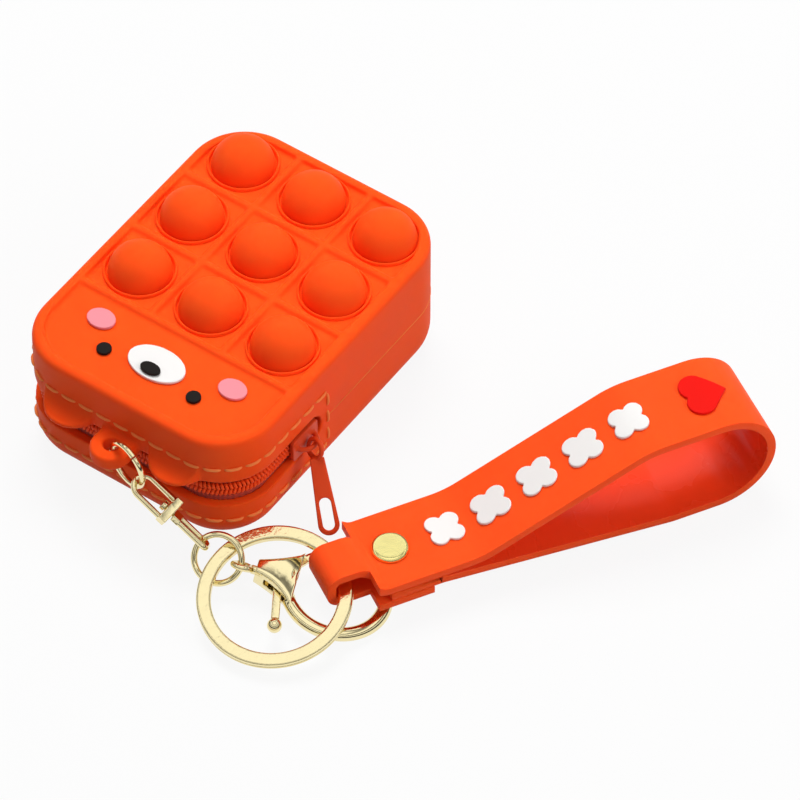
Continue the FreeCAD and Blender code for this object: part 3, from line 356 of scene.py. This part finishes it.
def woven_tape():
    """Woven zip tape with crossing threads and painted shade in the hollows of the weave."""
    name = "Woven Tape"
    if name in bpy.data.materials:
        return bpy.data.materials[name]
    material, tree, shader = new_material(name)
    nodes, links = tree.nodes, tree.links
    place = nodes.new("ShaderNodeTexCoord")
    heights = []
    for direction in ("X", "Z"):
        wave = nodes.new("ShaderNodeTexWave")
        wave.bands_direction = direction
        wave.inputs["Scale"].default_value = 420.0
        wave.inputs["Distortion"].default_value = 0.6
        links.new(place.outputs["Object"], wave.inputs["Vector"])
        heights.append(wave.outputs["Fac"])
    weave = nodes.new("ShaderNodeMath")
    weave.operation = "MULTIPLY"
    links.new(heights[0], weave.inputs[0])
    links.new(heights[1], weave.inputs[1])
    mix = nodes.new("ShaderNodeMix")
    mix.data_type = "RGBA"
    red, green, blue, cover = colours().tape
    # Painted shade: where the weave sinks, the tape's colour is darkened to this share.
    hollow_shade_share = 0.6
    mix.inputs[6].default_value = (red * hollow_shade_share, green * hollow_shade_share, blue * hollow_shade_share, cover)
    mix.inputs[7].default_value = (red, green, blue, cover)
    links.new(weave.outputs[0], mix.inputs["Factor"])
    links.new(mix.outputs[2], shader.inputs["Base Color"])
    shader.inputs["Roughness"].default_value = 0.85
    shader.inputs["Sheen Weight"].default_value = 0.3
    thread_depth = 0.1 * MM
    add_bump(tree, shader, weave.outputs[0], 0.5, thread_depth)
    return material


def silicone():
    """Matte orange silicone of the purse."""
    return moulded("Orange Silicone", colours().silicone, roughness=0.48, drift=0.06, bump=0.25,
                   inner_glow=0.35)


def stitches_with_painted_highlight():
    """Moulded stitches and mould line, paler than the silicone as a painted highlight on their raised
    strands.
    """
    return moulded("Stitch Thread", colours().thread, roughness=0.5, drift=0.05, bump=0.3)


def strap_outside():
    """Matte outer side of the strap."""
    return moulded("Strap Silicone", colours().strap, roughness=0.46, drift=0.05, bump=0.2, inner_glow=0.3)


def strap_inside_shaded():
    """Glossy inner side of the strap, darker than the outside as painted shade inside the loop."""
    return moulded("Strap Inside", colours().strap_inside_shaded, roughness=0.2, drift=0.05, bump=0.2,
                   specular=0.35)


def inlay(name, colour, roughness=0.4, drift=0.05):
    """Satin raised inlay."""
    return moulded(name, colour, roughness, drift, bump=0.15)


def white_inlay():
    """White of the muzzle and the flowers."""
    return inlay("White Inlay", colours().white, drift=0.03)


def black_inlay():
    """Black of the eyes and the nose."""
    return inlay("Black Inlay", colours().black, roughness=0.35, drift=0.1)


def gold():
    """Polished pale gold plating."""
    return plated("Pale Gold Plate", colours().gold, roughness=0.06, haze=0.10, metallic=1.0, bump=0.12)


def beaten_gold():
    """Gold plating on the flat pressed ring, with shallow dents."""
    return plated("Beaten Gold Plate", colours().gold, roughness=0.06, haze=0.12, metallic=1.0, bump=0.9,
                  scuff_scale=1000.0, scuff_depth=0.06 * MM)


def rivet_gold():
    """Yellow plating of the rivet, a little hazy."""
    return plated("Rivet Gold Plate", colours().rivet, roughness=0.1, haze=0.15, metallic=1.0, bump=0.6,
                  scuff_scale=900.0)


def zip_paint():
    """Satin paint of the slider and the pull."""
    return plated("Zip Paint", colours().zip_paint, roughness=0.4, haze=0.18, metallic=0.0, bump=0.3)


def zip_teeth_finish():
    """Satin coils in the colour of the shell."""
    return plated("Zip Teeth", colours().silicone, roughness=0.4, haze=0.2, metallic=0.0, bump=0.2)


def new_object(name, mesh):
    """Object of a mesh, linked to the scene."""
    obj = bpy.data.objects.new(name, mesh)
    bpy.context.scene.collection.objects.link(obj)
    return obj


def paint(obj, *materials):
    """Give an object its materials, in the order of its faces' indices."""
    obj.data.materials.clear()
    for material in materials:
        obj.data.materials.append(material)


def smooth(obj):
    """Smooth shading all over."""
    for polygon in obj.data.polygons:
        polygon.use_smooth = True
    return obj


def plain_object(name, work):
    """Object of a finished work mesh."""
    mesh = bpy.data.meshes.new(name)
    work.to_mesh(mesh)
    work.free()
    return new_object(name, mesh)


def mesh_object(name, work):
    """Smooth object of a finished work mesh with its faces turned outwards."""
    bmesh.ops.recalc_face_normals(work, faces=work.faces)
    return smooth(plain_object(name, work))


def settled(obj):
    """Apply an object's modifiers to its own mesh."""
    graph = bpy.context.evaluated_depsgraph_get()
    mesh = bpy.data.meshes.new_from_object(obj.evaluated_get(graph))
    old = obj.data
    obj.modifiers.clear()
    obj.data = mesh
    mesh.name = old.name
    bpy.data.meshes.remove(old)
    return obj


def softened(name, nodes, cell, rounds, keep_share, adjust=None):
    """One moulded or cast mesh from the solids of CAD nodes, with soft edges and joined fillets."""
    work = bmesh.new()
    for node in nodes:
        work.from_mesh(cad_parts[node].data)
    bmesh.ops.remove_doubles(work, verts=work.verts, dist=TOUCH)
    if adjust:
        adjust(work)
    obj = plain_object(name, work)
    remesh = obj.modifiers.new("Cells", "REMESH")
    remesh.mode = "VOXEL"
    remesh.voxel_size = cell
    relax = obj.modifiers.new("Relax", "SMOOTH")
    relax.factor = 0.5
    relax.iterations = rounds
    thin = obj.modifiers.new("Thin", "DECIMATE")
    thin.ratio = keep_share
    return smooth(settled(obj))


def eased(name, node, width):
    """Copy of a CAD solid with its sharp edges rounded."""
    work = bmesh.new()
    work.from_mesh(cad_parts[node].data)
    bmesh.ops.remove_doubles(work, verts=work.verts, dist=TOUCH)
    obj = plain_object(name, work)
    bevel = obj.modifiers.new("Edges", "BEVEL")
    bevel.width = width
    bevel.segments = 3
    bevel.limit_method = "ANGLE"
    bevel.angle_limit = math.radians(40)
    bevel.harden_normals = True
    return smooth(settled(smooth(obj)))


def attach(piece, nodes, body):
    """Put a piece in the place of its CAD nodes and on their body."""
    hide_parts(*nodes)
    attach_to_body(piece, body)


def shell_low_edge():
    """Height of the zip slot's lower edge."""
    return cad_high("base_shell").z


def shell_high_edge():
    """Height of the zip slot's upper edge, which carries the lid."""
    return cad_high("rear_hinge_web").z


def bend_at_hinge(piece):
    """Bake a piece's place into its mesh; the piece stays where it stands."""
    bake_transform(piece)


def deck_level():
    """Height of the recessed deck, on which the inlays and the bubbles' rings stand."""
    return cad_low("face_muzzle").z


def bubble_place(index):
    """Middle of a bubble, seen from above, and its radius."""
    low, high = cad_low("bubble_" + str(index)), cad_high("bubble_" + str(index))
    return (low.xy + high.xy) / 2, (high.x - low.x) / 2


class PURSE_OT_shell(bpy.types.Operator):
    """Moulded shell: base, rear wall and lid in one skin joined behind the zip"""

    bl_idname = "purse.shell"
    bl_label = "Moulded Shell"

    def execute(self, context):
        web_top = shell_high_edge()
        lid_gap = 0.15 * MM
        overlap = 0.2 * MM
        level_play = 0.02 * MM
        collar_top = 0.7 * MM
        collar_reach = 1.2 * MM
        deck = deck_level()
        places = [bubble_place(index) for index in BUBBLES]

        def close_seam(work):
            """Lap the rear wall into the lid, and level the deck where the bubbles bring their rings."""
            for vert in work.verts:
                if abs(vert.co.z - web_top) < level_play:
                    vert.co.z = web_top + lid_gap + overlap
                elif 0 < vert.co.z - deck < collar_top:
                    for centre, radius in places:
                        if (vert.co.xy - centre).length < radius + collar_reach:
                            vert.co.z = deck

        nodes = ("lid_shell", "base_shell", "rear_hinge_web")
        shell = softened("purse_shell", nodes, sizes().shell_grain, rounds=2, keep_share=0.45,
                         adjust=close_seam)
        paint(shell, silicone())
        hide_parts(*nodes)
        bend_at_hinge(shell)
        return {"FINISHED"}


def lathe(name, profile, sides, centre):
    """Closed mesh of a profile of radius and height turned round an upright axis."""
    work = bmesh.new()
    loops = []
    for radius, height in profile:
        if radius < TOUCH:
            loops.append([work.verts.new(centre + Vector((0, 0, height)))])
            continue
        loop = []
        for i in range(sides):
            turn = 2 * math.pi * i / sides
            place = Vector((radius * math.cos(turn), radius * math.sin(turn), height))
            loop.append(work.verts.new(centre + place))
        loops.append(loop)
    for lower, upper in zip(loops, loops[1:]):
        for i in range(sides):
            j = (i + 1) % sides
            corners = [lower[i % len(lower)], lower[j % len(lower)],
                       upper[j % len(upper)], upper[i % len(upper)]]
            face = list(dict.fromkeys(corners))
            if len(face) > 2:
                work.faces.new(face)
    return mesh_object(name, work)


def bubble_profile(radius, rise, skirt):
    """Section of a bubble as radius and height: ring, groove, dome, inside of the dome and skirt."""
    setting = sizes()
    wall = 1.0 * MM
    foot = -0.3 * MM
    groove = 0.8 * foot
    groove_out_share, groove_in_share = 0.8, 0.1
    half = setting.collar_width / 2
    collar = radius + setting.collar_gap + half
    profile = [(collar + half, foot)]
    collar_steps = 8
    for step in range(collar_steps + 1):
        turn = math.pi * step / collar_steps
        profile.append((collar + half * math.cos(turn), setting.collar_height * math.sin(turn)))
    profile.append((radius + setting.collar_gap * groove_out_share, groove))
    profile.append((radius + setting.collar_gap * groove_in_share, groove))
    rings = setting.dome_rings
    for step in range(rings + 1):
        turn = math.pi / 2 * step / rings
        profile.append((radius * math.cos(turn) if step < rings else 0, rise * math.sin(turn)))
    for step in range(rings + 1):
        turn = math.pi / 2 * (1 - step / rings)
        inner = (radius - wall) * math.cos(turn) if step else 0
        profile.append((inner, (rise - wall) * math.sin(turn)))
    profile += [(radius - wall, skirt / 2), (radius - wall, skirt), (radius, skirt),
                (radius, 2 * foot), (collar, 2 * foot), (collar + half, foot)]
    return profile


class PURSE_OT_bubbles(bpy.types.Operator):
    """Soft press bubbles in their raised shape; the real ones turn inside out when pressed"""

    bl_idname = "purse.bubbles"
    bl_label = "Press Bubbles"

    def execute(self, context):
        deck = deck_level()
        for index in BUBBLES:
            node = "bubble_" + str(index)
            low, high = cad_low(node), cad_high(node)
            middle, radius = bubble_place(index)
            centre = Vector((middle.x, middle.y, deck))
            profile = bubble_profile(radius, high.z - deck, low.z - deck)
            dome = lathe("press_" + node, profile, sizes().dome_sides, centre)
            paint(dome, silicone())
            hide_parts(node)
            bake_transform(dome)
        return {"FINISHED"}


def wall_path(distance, back_y, inset=0.0):
    """Point and outward direction on the wall, from back_y on the right round the front to the left."""
    low, high = cad_low("base_shell"), cad_high("base_shell")
    radius = sizes().corner_radius
    side_run = back_y - (low.y + radius)
    corner_run = (radius - inset) * math.pi / 2
    front_run = high.x - low.x - 2 * radius
    if distance <= side_run:
        return Vector((high.x - inset, back_y - distance, 0)), Vector((1, 0, 0))
    distance -= side_run
    if distance <= corner_run:
        turn = distance / (radius - inset)
        out = Vector((math.cos(turn), -math.sin(turn), 0))
        return Vector((high.x - radius, low.y + radius, 0)) + out * (radius - inset), out
    distance -= corner_run
    if distance <= front_run:
        return Vector((high.x - radius - distance, low.y + inset, 0)), Vector((0, -1, 0))
    distance -= front_run
    if distance <= corner_run:
        turn = distance / (radius - inset)
        out = Vector((-math.sin(turn), -math.cos(turn), 0))
        return Vector((low.x + radius, low.y + radius, 0)) + out * (radius - inset), out
    distance -= corner_run
    return Vector((low.x + inset, low.y + radius + distance, 0)), Vector((-1, 0, 0))


def wall_length(back_y, inset=0.0):
    """Length of the wall path between its two ends at back_y."""
    low, high = cad_low("base_shell"), cad_high("base_shell")
    radius = sizes().corner_radius
    return 2 * (back_y - low.y - radius) + math.pi * (radius - inset) + high.x - low.x - 2 * radius


def seam_back():
    """Y of the upright seams behind the zip slot."""
    tape_past_slot = 3.0 * MM
    return cad_high("zip_tape_lower").y - tape_past_slot + sizes().stitch_end


def add_thread(work, points, outs, radius, sides=8):
    """Closed tube of one radius through points, with the outward direction at each of them."""
    loops = []
    steps = len(points) - 1
    for i, (point, out) in enumerate(zip(points, outs)):
        ahead = (points[min(i + 1, steps)] - points[max(i - 1, 0)]).normalized()
        side = ahead.cross(out).normalized()
        lift = side.cross(ahead)
        loop = []
        for k in range(sides):
            turn = 2 * math.pi * k / sides
            loop.append(work.verts.new(point + (lift * math.cos(turn) + side * math.sin(turn)) * radius))
        loops.append(loop)
    for lower, upper in zip(loops, loops[1:]):
        for k in range(sides):
            work.faces.new([lower[k], lower[(k + 1) % sides], upper[(k + 1) % sides], upper[k]])
    work.faces.new(loops[0][::-1])
    work.faces.new(loops[-1])


def add_stitch(work, points, outs, radius):
    """One stitch: a thin thread that dips into the wall at both ends."""
    lift = radius * 0.55
    end_dip = radius * 1.3
    steps = len(points) - 1
    sunk = []
    for i, (point, out) in enumerate(zip(points, outs)):
        from_middle = abs(2 * i / steps - 1)
        sunk.append(point + out * (lift - from_middle ** 4 * end_dip))
    add_thread(work, sunk, outs, radius)


class PURSE_OT_stitching(bpy.types.Operator):
    """Raised stitches round the zip slot"""

    bl_idname = "purse.stitching"
    bl_label = "Stitching"

    def execute(self, context):
        work = bmesh.new()
        setting = sizes()
        low_level = shell_low_edge() - setting.stitch_from_slot
        high_level = shell_high_edge() + setting.stitch_from_slot
        back_y = seam_back()
        steps = 8
        along = [setting.stitch_length * (k / steps - 0.5) for k in range(steps + 1)]
        run = wall_length(back_y)
        count = int(run / setting.stitch_pitch)
        pitch = run / count
        for level in (low_level, high_level):
            for i in range(count):
                places = [wall_path((i + 0.5) * pitch + step, back_y) for step in along]
                points = [point + Vector((0, 0, level)) for point, out in places]
                add_stitch(work, points, [out for point, out in places], setting.stitch_radius)
        upright = int((high_level - low_level) / setting.stitch_pitch)
        rise = (high_level - low_level) / upright
        for side in (-1, 1):
            x = cad_high("base_shell").x * side
            for i in range(upright):
                points = [Vector((x, back_y, low_level + (i + 0.5) * rise + step)) for step in along]
                add_stitch(work, points, [Vector((side, 0, 0))] * len(along), setting.stitch_radius)
        self.add_mould_line(work, back_y)
        seam = mesh_object("zip_stitching", work)
        paint(seam, stitches_with_painted_highlight())
        bend_at_hinge(seam)
        return {"FINISHED"}

    def add_mould_line(self, work, back_y):
        """Fine line round the rear wall at the height of the zip."""
        low, high = cad_low("base_shell"), cad_high("base_shell")
        radius = sizes().corner_radius
        level = (shell_low_edge() + shell_high_edge()) / 2
        centres = (Vector((high.x - radius, high.y - radius, level)),
                   Vector((low.x + radius, high.y - radius, level)))
        points = [Vector((high.x, back_y, level))]
        outs = [Vector((1, 0, 0))]
        steps = 12
        for quarter, centre in enumerate(centres):
            for step in range(steps + 1):
                turn = math.pi / 2 * (quarter + step / steps)
                out = Vector((math.cos(turn), math.sin(turn), 0))
                points.append(centre + out * radius)
                outs.append(out)
        points.append(Vector((low.x, back_y, level)))
        outs.append(Vector((-1, 0, 0)))
        sunk = 0.3 * sizes().mould_line
        points = [point - out * sunk for point, out in zip(points, outs)]
        add_thread(work, points, outs, sizes().mould_line, sides=6)


class PURSE_OT_zip(bpy.types.Operator):
    """Zip: tapes, teeth, stop, slider and pull"""

    bl_idname = "purse.zip"
    bl_label = "Zip"

    def execute(self, context):
        for node in ("zip_tape_upper", "zip_tape_lower"):
            paint(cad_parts[node], woven_tape())
        paint(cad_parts["zip_end_stop"], zip_teeth_finish())
        for node, body, side in (("zip_teeth_upper", "lid", 1), ("zip_teeth_lower", "base", -1)):
            coil = self.coil_row(node, side)
            paint(coil, zip_teeth_finish())
            attach(coil, [node], body)
        for node, body in (("zip_slider", "slider"), ("zip_pull", "pull")):
            piece = softened(node + "_cast", [node], sizes().fine_grain, rounds=3, keep_share=0.5)
            paint(piece, zip_paint())
            attach(piece, [node], body)
        return {"FINISHED"}

    def coil_row(self, node, side):
        """One row of zip coils along the slot."""
        setting = sizes()
        reach = setting.coil_depth + setting.coil_wire
        inset = cad_high("base_shell").x - cad_high(node).x + reach
        back_y = cad_high(node).y - reach
        middle = (cad_low("zip_teeth_lower").z + cad_high("zip_teeth_upper").z) / 2
        mesh_share = 0.9
        level = middle + side * (setting.coil_radius + setting.coil_wire) * mesh_share
        run = wall_length(back_y, inset)
        steps = 10
        turns = int(run / setting.coil_pitch)
        points = []
        outs = []
        for i in range(turns * steps + 1):
            point, out = wall_path(run * i / (turns * steps), back_y, inset)
            turn = side * 2 * math.pi * i / steps
            lift = out * (math.cos(turn) * setting.coil_depth)
            lift.z = math.sin(turn) * setting.coil_radius
            points.append(point + Vector((0, 0, level)) + lift)
            outs.append(lift.normalized())
        work = bmesh.new()
        add_thread(work, points, outs, setting.coil_wire, sides=6)
        return mesh_object(node + "_coil", work)


class PURSE_OT_face(bpy.types.Operator):
    """Soft raised inlays of the face"""

    bl_idname = "purse.face"
    bl_label = "Face Inlays"

    def execute(self, context):
        finishes = (
            ("face_muzzle", "muzzle_white", white_inlay()),
            ("face_cheeks", "cheek_pink", inlay("Pink Inlay", colours().pink)),
            ("face_eyes", "face_black", black_inlay()),
            ("face_nose", "face_black", black_inlay()),
        )
        for node, slot, material in finishes:
            piece = softened(node + "_inlay", [node], sizes().fine_grain, rounds=4, keep_share=0.5)
            paint(piece, material)
            attach(piece, [node], "lid")
        return {"FINISHED"}


class PURSE_OT_chain(bpy.types.Operator):
    """Rings and swivel of the chain"""

    bl_idname = "purse.chain"
    bl_label = "Ring Chain"

    def execute(self, context):
        cast = (("swivel_upper_link", "swivel_upper"), ("swivel_lower_link", "swivel_lower"),
                ("swivel_pin", "swivel_lower"))
        grain = 0.8 * sizes().fine_grain
        for node, body in cast:
            piece = softened(node + "_cast", [node], grain, rounds=2, keep_share=0.6)
            paint(piece, gold())
            attach(piece, [node], body)
        for node in ("lug_ring", "joint_ring"):
            paint(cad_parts[node], gold())
        paint(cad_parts["key_ring"], beaten_gold())
        return {"FINISHED"}


def long_axis(node):
    """Middle of a slim round CAD node and its direction."""
    points = [vert.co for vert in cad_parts[node].data.vertices]
    middle = (cad_low(node) + cad_high(node)) / 2
    far = max(points, key=lambda point: (point - middle).length)
    ends = [point for point in points if (point - far).length < (point - 2 * middle + far).length]
    rim = sum(ends, Vector()) / len(ends)
    return middle, (rim - middle).normalized()


class PURSE_OT_clasp(bpy.types.Operator):
    """Trigger clasp with its eye, gate and pin"""

    bl_idname = "purse.clasp"
    bl_label = "Trigger Clasp"

    def crown(self, piece):
        """Swell the cheeks of the cast body round its pin."""
        middle, across = long_axis("clasp_pin")
        setting = sizes()
        pin_reach = 1.5 * MM
        smooth_rounds = 40
        work = bmesh.new()
        work.from_mesh(piece.data)
        ends = []
        for vert in work.verts:
            height = (vert.co - middle).dot(across)
            distance = (vert.co - middle - across * height).length
            if abs(height) < setting.cheek_from:
                continue
            if distance < pin_reach:
                ends.append(vert)
            away = min(distance / setting.cheek_reach, 1.0)
            vert.co += across * math.copysign(setting.cheek_swell * (1.0 - away ** 2), height)
        for _ in range(smooth_rounds):
            bmesh.ops.smooth_vert(work, verts=ends, factor=0.5,
                                  use_axis_x=True, use_axis_y=True, use_axis_z=True)
        work.to_mesh(piece.data)
        work.free()

    def execute(self, context):
        cast = ((("clasp_body", "clasp_pin"), "clasp", 8), (("clasp_gate",), "gate", 3),
                (("clasp_eye",), "clasp_eye", 2))
        for nodes, body, rounds in cast:
            piece = softened(nodes[0] + "_cast", nodes, sizes().fine_grain, rounds, keep_share=0.5)
            if body == "clasp":
                self.crown(piece)
            paint(piece, gold())
            attach(piece, nodes, body)
        return {"FINISHED"}


class PURSE_OT_strap(bpy.types.Operator):
    """Wrist strap with its rivet, flowers and heart"""

    bl_idname = "purse.strap"
    bl_label = "Wrist Strap"

    def execute(self, context):
        rivet = (cad_low("rivet_cap") + cad_high("rivet_cap")) / 2
        heart = (cad_low("strap_heart") + cad_high("strap_heart")) / 2
        run = Vector((heart.x - rivet.x, heart.y - rivet.y, 0))
        strap = eased("wrist_strap_soft", "wrist_strap", sizes().strap_edge)
        paint(strap, strap_outside(), strap_inside_shaded())
        self.mark_inside(strap, rivet, run)
        attach(strap, ["wrist_strap"], "strap")
        finishes = (
            ("strap_motifs", "motif_white", white_inlay()),
            ("strap_heart", "heart_red", inlay("Red Inlay", colours().heart)),
        )
        for node, slot, material in finishes:
            piece = softened(node + "_inlay", [node], sizes().fine_grain, rounds=4, keep_share=0.5)
            paint(piece, material)
            attach(piece, [node], "strap")
        for node in ("rivet_cap", "rivet_back"):
            piece = softened(node + "_cast", [node], sizes().fine_grain, rounds=2, keep_share=0.5)
            paint(piece, rivet_gold())
            attach(piece, [node], "strap")
        return {"FINISHED"}

    def mark_inside(self, strap, rivet, run):
        """Give the faces that look into the wrist loop the second material, glossy and darker as painted
        shade.
        """
        low, high = cad_low("wrist_strap"), cad_high("wrist_strap")
        length = run.length
        ahead = run.normalized()
        across = ahead.cross(Vector((0, 0, 1)))
        tree = BVHTree.FromPolygons([vert.co for vert in strap.data.vertices],
                                    [polygon.vertices for polygon in strap.data.polygons])
        above = 1.0 * MM
        two_layers = 2.8 * MM
        near_share = 0.1
        facing_share = 0.45
        near = Vector((rivet.x, rivet.y, high.z + above)) + ahead * (length * near_share)
        near_level = tree.ray_cast(near, Vector((0, 0, -1)))[0].z - two_layers
        far_level = (low.z + high.z) / 2
        run_left = length * (1 - near_share)
        for polygon in strap.data.polygons:
            past = (polygon.center - near).dot(ahead)
            if past < 0:
                continue
            share = min(past / run_left, 1.0)
            axis = near + ahead * (share * run_left)
            axis.z = near_level + (far_level - near_level) * share
            inward = axis - polygon.center
            inward -= across * inward.dot(across)
            if polygon.normal.dot(inward.normalized()) > facing_share:
                polygon.material_index = 1


def floor_material():
    """Pale floor that shows white to the camera and keeps a soft shadow."""
    material, tree, shader = new_material("Studio Floor")
    nodes, links = tree.nodes, tree.links
    shader.inputs["Base Color"].default_value = (0.45, 0.45, 0.45, 1.0)
    shader.inputs["Roughness"].default_value = 0.9
    shader.inputs["Specular IOR Level"].default_value = 0.1
    glow = nodes.new("ShaderNodeEmission")
    glow.inputs["Strength"].default_value = 1.05
    path = nodes.new("ShaderNodeLightPath")
    seen = nodes.new("ShaderNodeMath")
    seen.operation = "MAXIMUM"
    links.new(path.outputs["Is Camera Ray"], seen.inputs[0])
    links.new(path.outputs["Is Glossy Ray"], seen.inputs[1])
    glow_share = 0.86
    share = nodes.new("ShaderNodeMath")
    share.operation = "MULTIPLY"
    share.inputs[1].default_value = glow_share
    links.new(seen.outputs[0], share.inputs[0])
    mix = nodes.new("ShaderNodeMixShader")
    links.new(share.outputs[0], mix.inputs["Fac"])
    links.new(shader.outputs["BSDF"], mix.inputs[1])
    links.new(glow.outputs["Emission"], mix.inputs[2])
    links.new(mix.outputs["Shader"], nodes["Material Output"].inputs["Surface"])
    return material


def soft_lamp(name, place, aim, size, power):
    """Square soft light aimed at a point."""
    light = bpy.data.lights.new(name, "AREA")
    light.shape = "SQUARE"
    light.size = size
    light.energy = power
    obj = new_object(name, light)
    obj.location = place
    obj.rotation_euler = (Vector(aim) - Vector(place)).to_track_quat("-Z", "Y").to_euler()
    obj.visible_glossy = False


class PURSE_OT_stage(bpy.types.Operator):
    """Floor, lights, world and camera"""

    bl_idname = "purse.stage"
    bl_label = "Studio Stage"

    def studio_sky(self, tree):
        """Even pale light all round, with dark and bright bands for reflections alone."""
        nodes, links = tree.nodes, tree.links
        even = nodes["Background"]
        even.inputs["Color"].default_value = (1.0, 1.0, 1.0, 1.0)
        even.inputs["Strength"].default_value = 0.27
        place = nodes.new("ShaderNodeTexCoord")
        split = nodes.new("ShaderNodeSeparateXYZ")
        links.new(place.outputs["Generated"], split.inputs["Vector"])
        ramp = nodes.new("ShaderNodeValToRGB")
        # Height of the direction, and brightness there.
        bands = ((0.0, 0.30), (0.10, 0.03), (0.30, 0.05), (0.38, 0.9), (0.50, 0.8), (0.56, 0.06),
                 (0.64, 0.10), (0.69, 1.2), (0.80, 1.15), (0.835, 0.15), (0.88, 0.3), (0.915, 1.15))
        while len(ramp.color_ramp.elements) < len(bands):
            ramp.color_ramp.elements.new(1.0)
        for stop, (at, level) in zip(ramp.color_ramp.elements, bands):
            stop.position = at
            stop.color = (level, level, level, 1.0)
        links.new(split.outputs["Z"], ramp.inputs["Fac"])
        bands_light = nodes.new("ShaderNodeBackground")
        links.new(ramp.outputs["Color"], bands_light.inputs["Color"])
        path = nodes.new("ShaderNodeLightPath")
        mix = nodes.new("ShaderNodeMixShader")
        links.new(path.outputs["Is Glossy Ray"], mix.inputs["Fac"])
        links.new(even.outputs["Background"], mix.inputs[1])
        links.new(bands_light.outputs["Background"], mix.inputs[2])
        links.new(mix.outputs["Shader"], nodes["World Output"].inputs["Surface"])

    def add_floor(self):
        """Wide floor under the lowest piece."""
        reach = 3.0
        work = bmesh.new()
        bmesh.ops.create_grid(work, x_segments=1, y_segments=1, size=reach)
        floor = plain_object("studio_floor", work)
        floor.location.z = min(cad_box[0][2], 0.0)
        paint(floor, floor_material())

    def add_camera(self, scene):
        """Camera in the place from which the photo was taken."""
        view_turn = math.radians(35.04)
        view_rise = math.radians(49.7)
        view_distance = 1.2
        frame_width = 154.5 * MM
        deck_middle = Vector((0, 1.5 * MM, 30.0 * MM))
        shift_right = 31.48 * MM
        shift_down = 23.5 * MM
        back = Vector((math.sin(view_turn) * math.cos(view_rise),
                       -math.cos(view_turn) * math.cos(view_rise), math.sin(view_rise)))
        right = Vector((math.cos(view_turn), math.sin(view_turn), 0))
        up = back.cross(right)
        middle = deck_middle + right * shift_right - up * shift_down
        camera = bpy.data.cameras.new("Photo Camera")
        camera.sensor_width = 36.0
        camera.lens = camera.sensor_width * view_distance / frame_width
        camera.clip_start = 0.01
        viewer = new_object("Photo Camera", camera)
        viewer.matrix_world = Matrix.Translation(middle + back * view_distance) @ Matrix(
            (right, up, back)).transposed().to_4x4()
        scene.camera = viewer

    def execute(self, context):
        scene = context.scene
        scene.view_settings.view_transform = "Standard"
        self.add_floor()
        world = bpy.data.worlds.new("Studio World")
        scene.world = world
        world.use_nodes = True
        self.studio_sky(world.node_tree)
        aim = (0.02, 0.0, 0.01)
        soft_lamp("Key Light", place=(-0.22, 0.28, 0.8), aim=aim, size=0.45, power=7.3)
        soft_lamp("Side Light", place=(0.7, 0.1, 0.45), aim=aim, size=0.5, power=2.9)
        soft_lamp("Front Light", place=(0.0, -0.7, 0.45), aim=aim, size=0.5, power=0.15)
        self.add_camera(scene)
        return {"FINISHED"}


class PURSE_PT_panel(bpy.types.Panel):
    """Sidebar panel with the purse's pieces and settings"""

    bl_idname = "PURSE_PT_panel"
    bl_label = "Coin Purse"
    bl_space_type = "VIEW_3D"
    bl_region_type = "UI"
    bl_category = "Coin Purse"

    def draw(self, context):
        for operator in PIECES:
            self.layout.operator(operator.bl_idname)
        for group in (context.scene.purse_sizes, context.scene.purse_colours):
            for name in group.__annotations__:
                self.layout.prop(group, name)


PIECES = (PURSE_OT_shell, PURSE_OT_bubbles, PURSE_OT_stitching, PURSE_OT_zip, PURSE_OT_face,
          PURSE_OT_chain, PURSE_OT_clasp, PURSE_OT_strap, PURSE_OT_stage)
CLASSES = (PurseSizes, PurseColours) + PIECES + (PURSE_PT_panel,)


def register():
    """Add the classes and the settings."""
    for cls in CLASSES:
        bpy.utils.register_class(cls)
    bpy.types.Scene.purse_sizes = PointerProperty(type=PurseSizes)
    bpy.types.Scene.purse_colours = PointerProperty(type=PurseColours)


def unregister():
    """Take the settings and the classes away again."""
    del bpy.types.Scene.purse_colours
    del bpy.types.Scene.purse_sizes
    for cls in reversed(CLASSES):
        bpy.utils.unregister_class(cls)


def main():
    """Make all the pieces in order."""
    register()
    bpy.ops.purse.shell()
    bpy.ops.purse.bubbles()
    bpy.ops.purse.stitching()
    bpy.ops.purse.zip()
    bpy.ops.purse.face()
    bpy.ops.purse.chain()
    bpy.ops.purse.clasp()
    bpy.ops.purse.strap()
    bpy.ops.purse.stage()


if __name__ == "__main__":
    main()
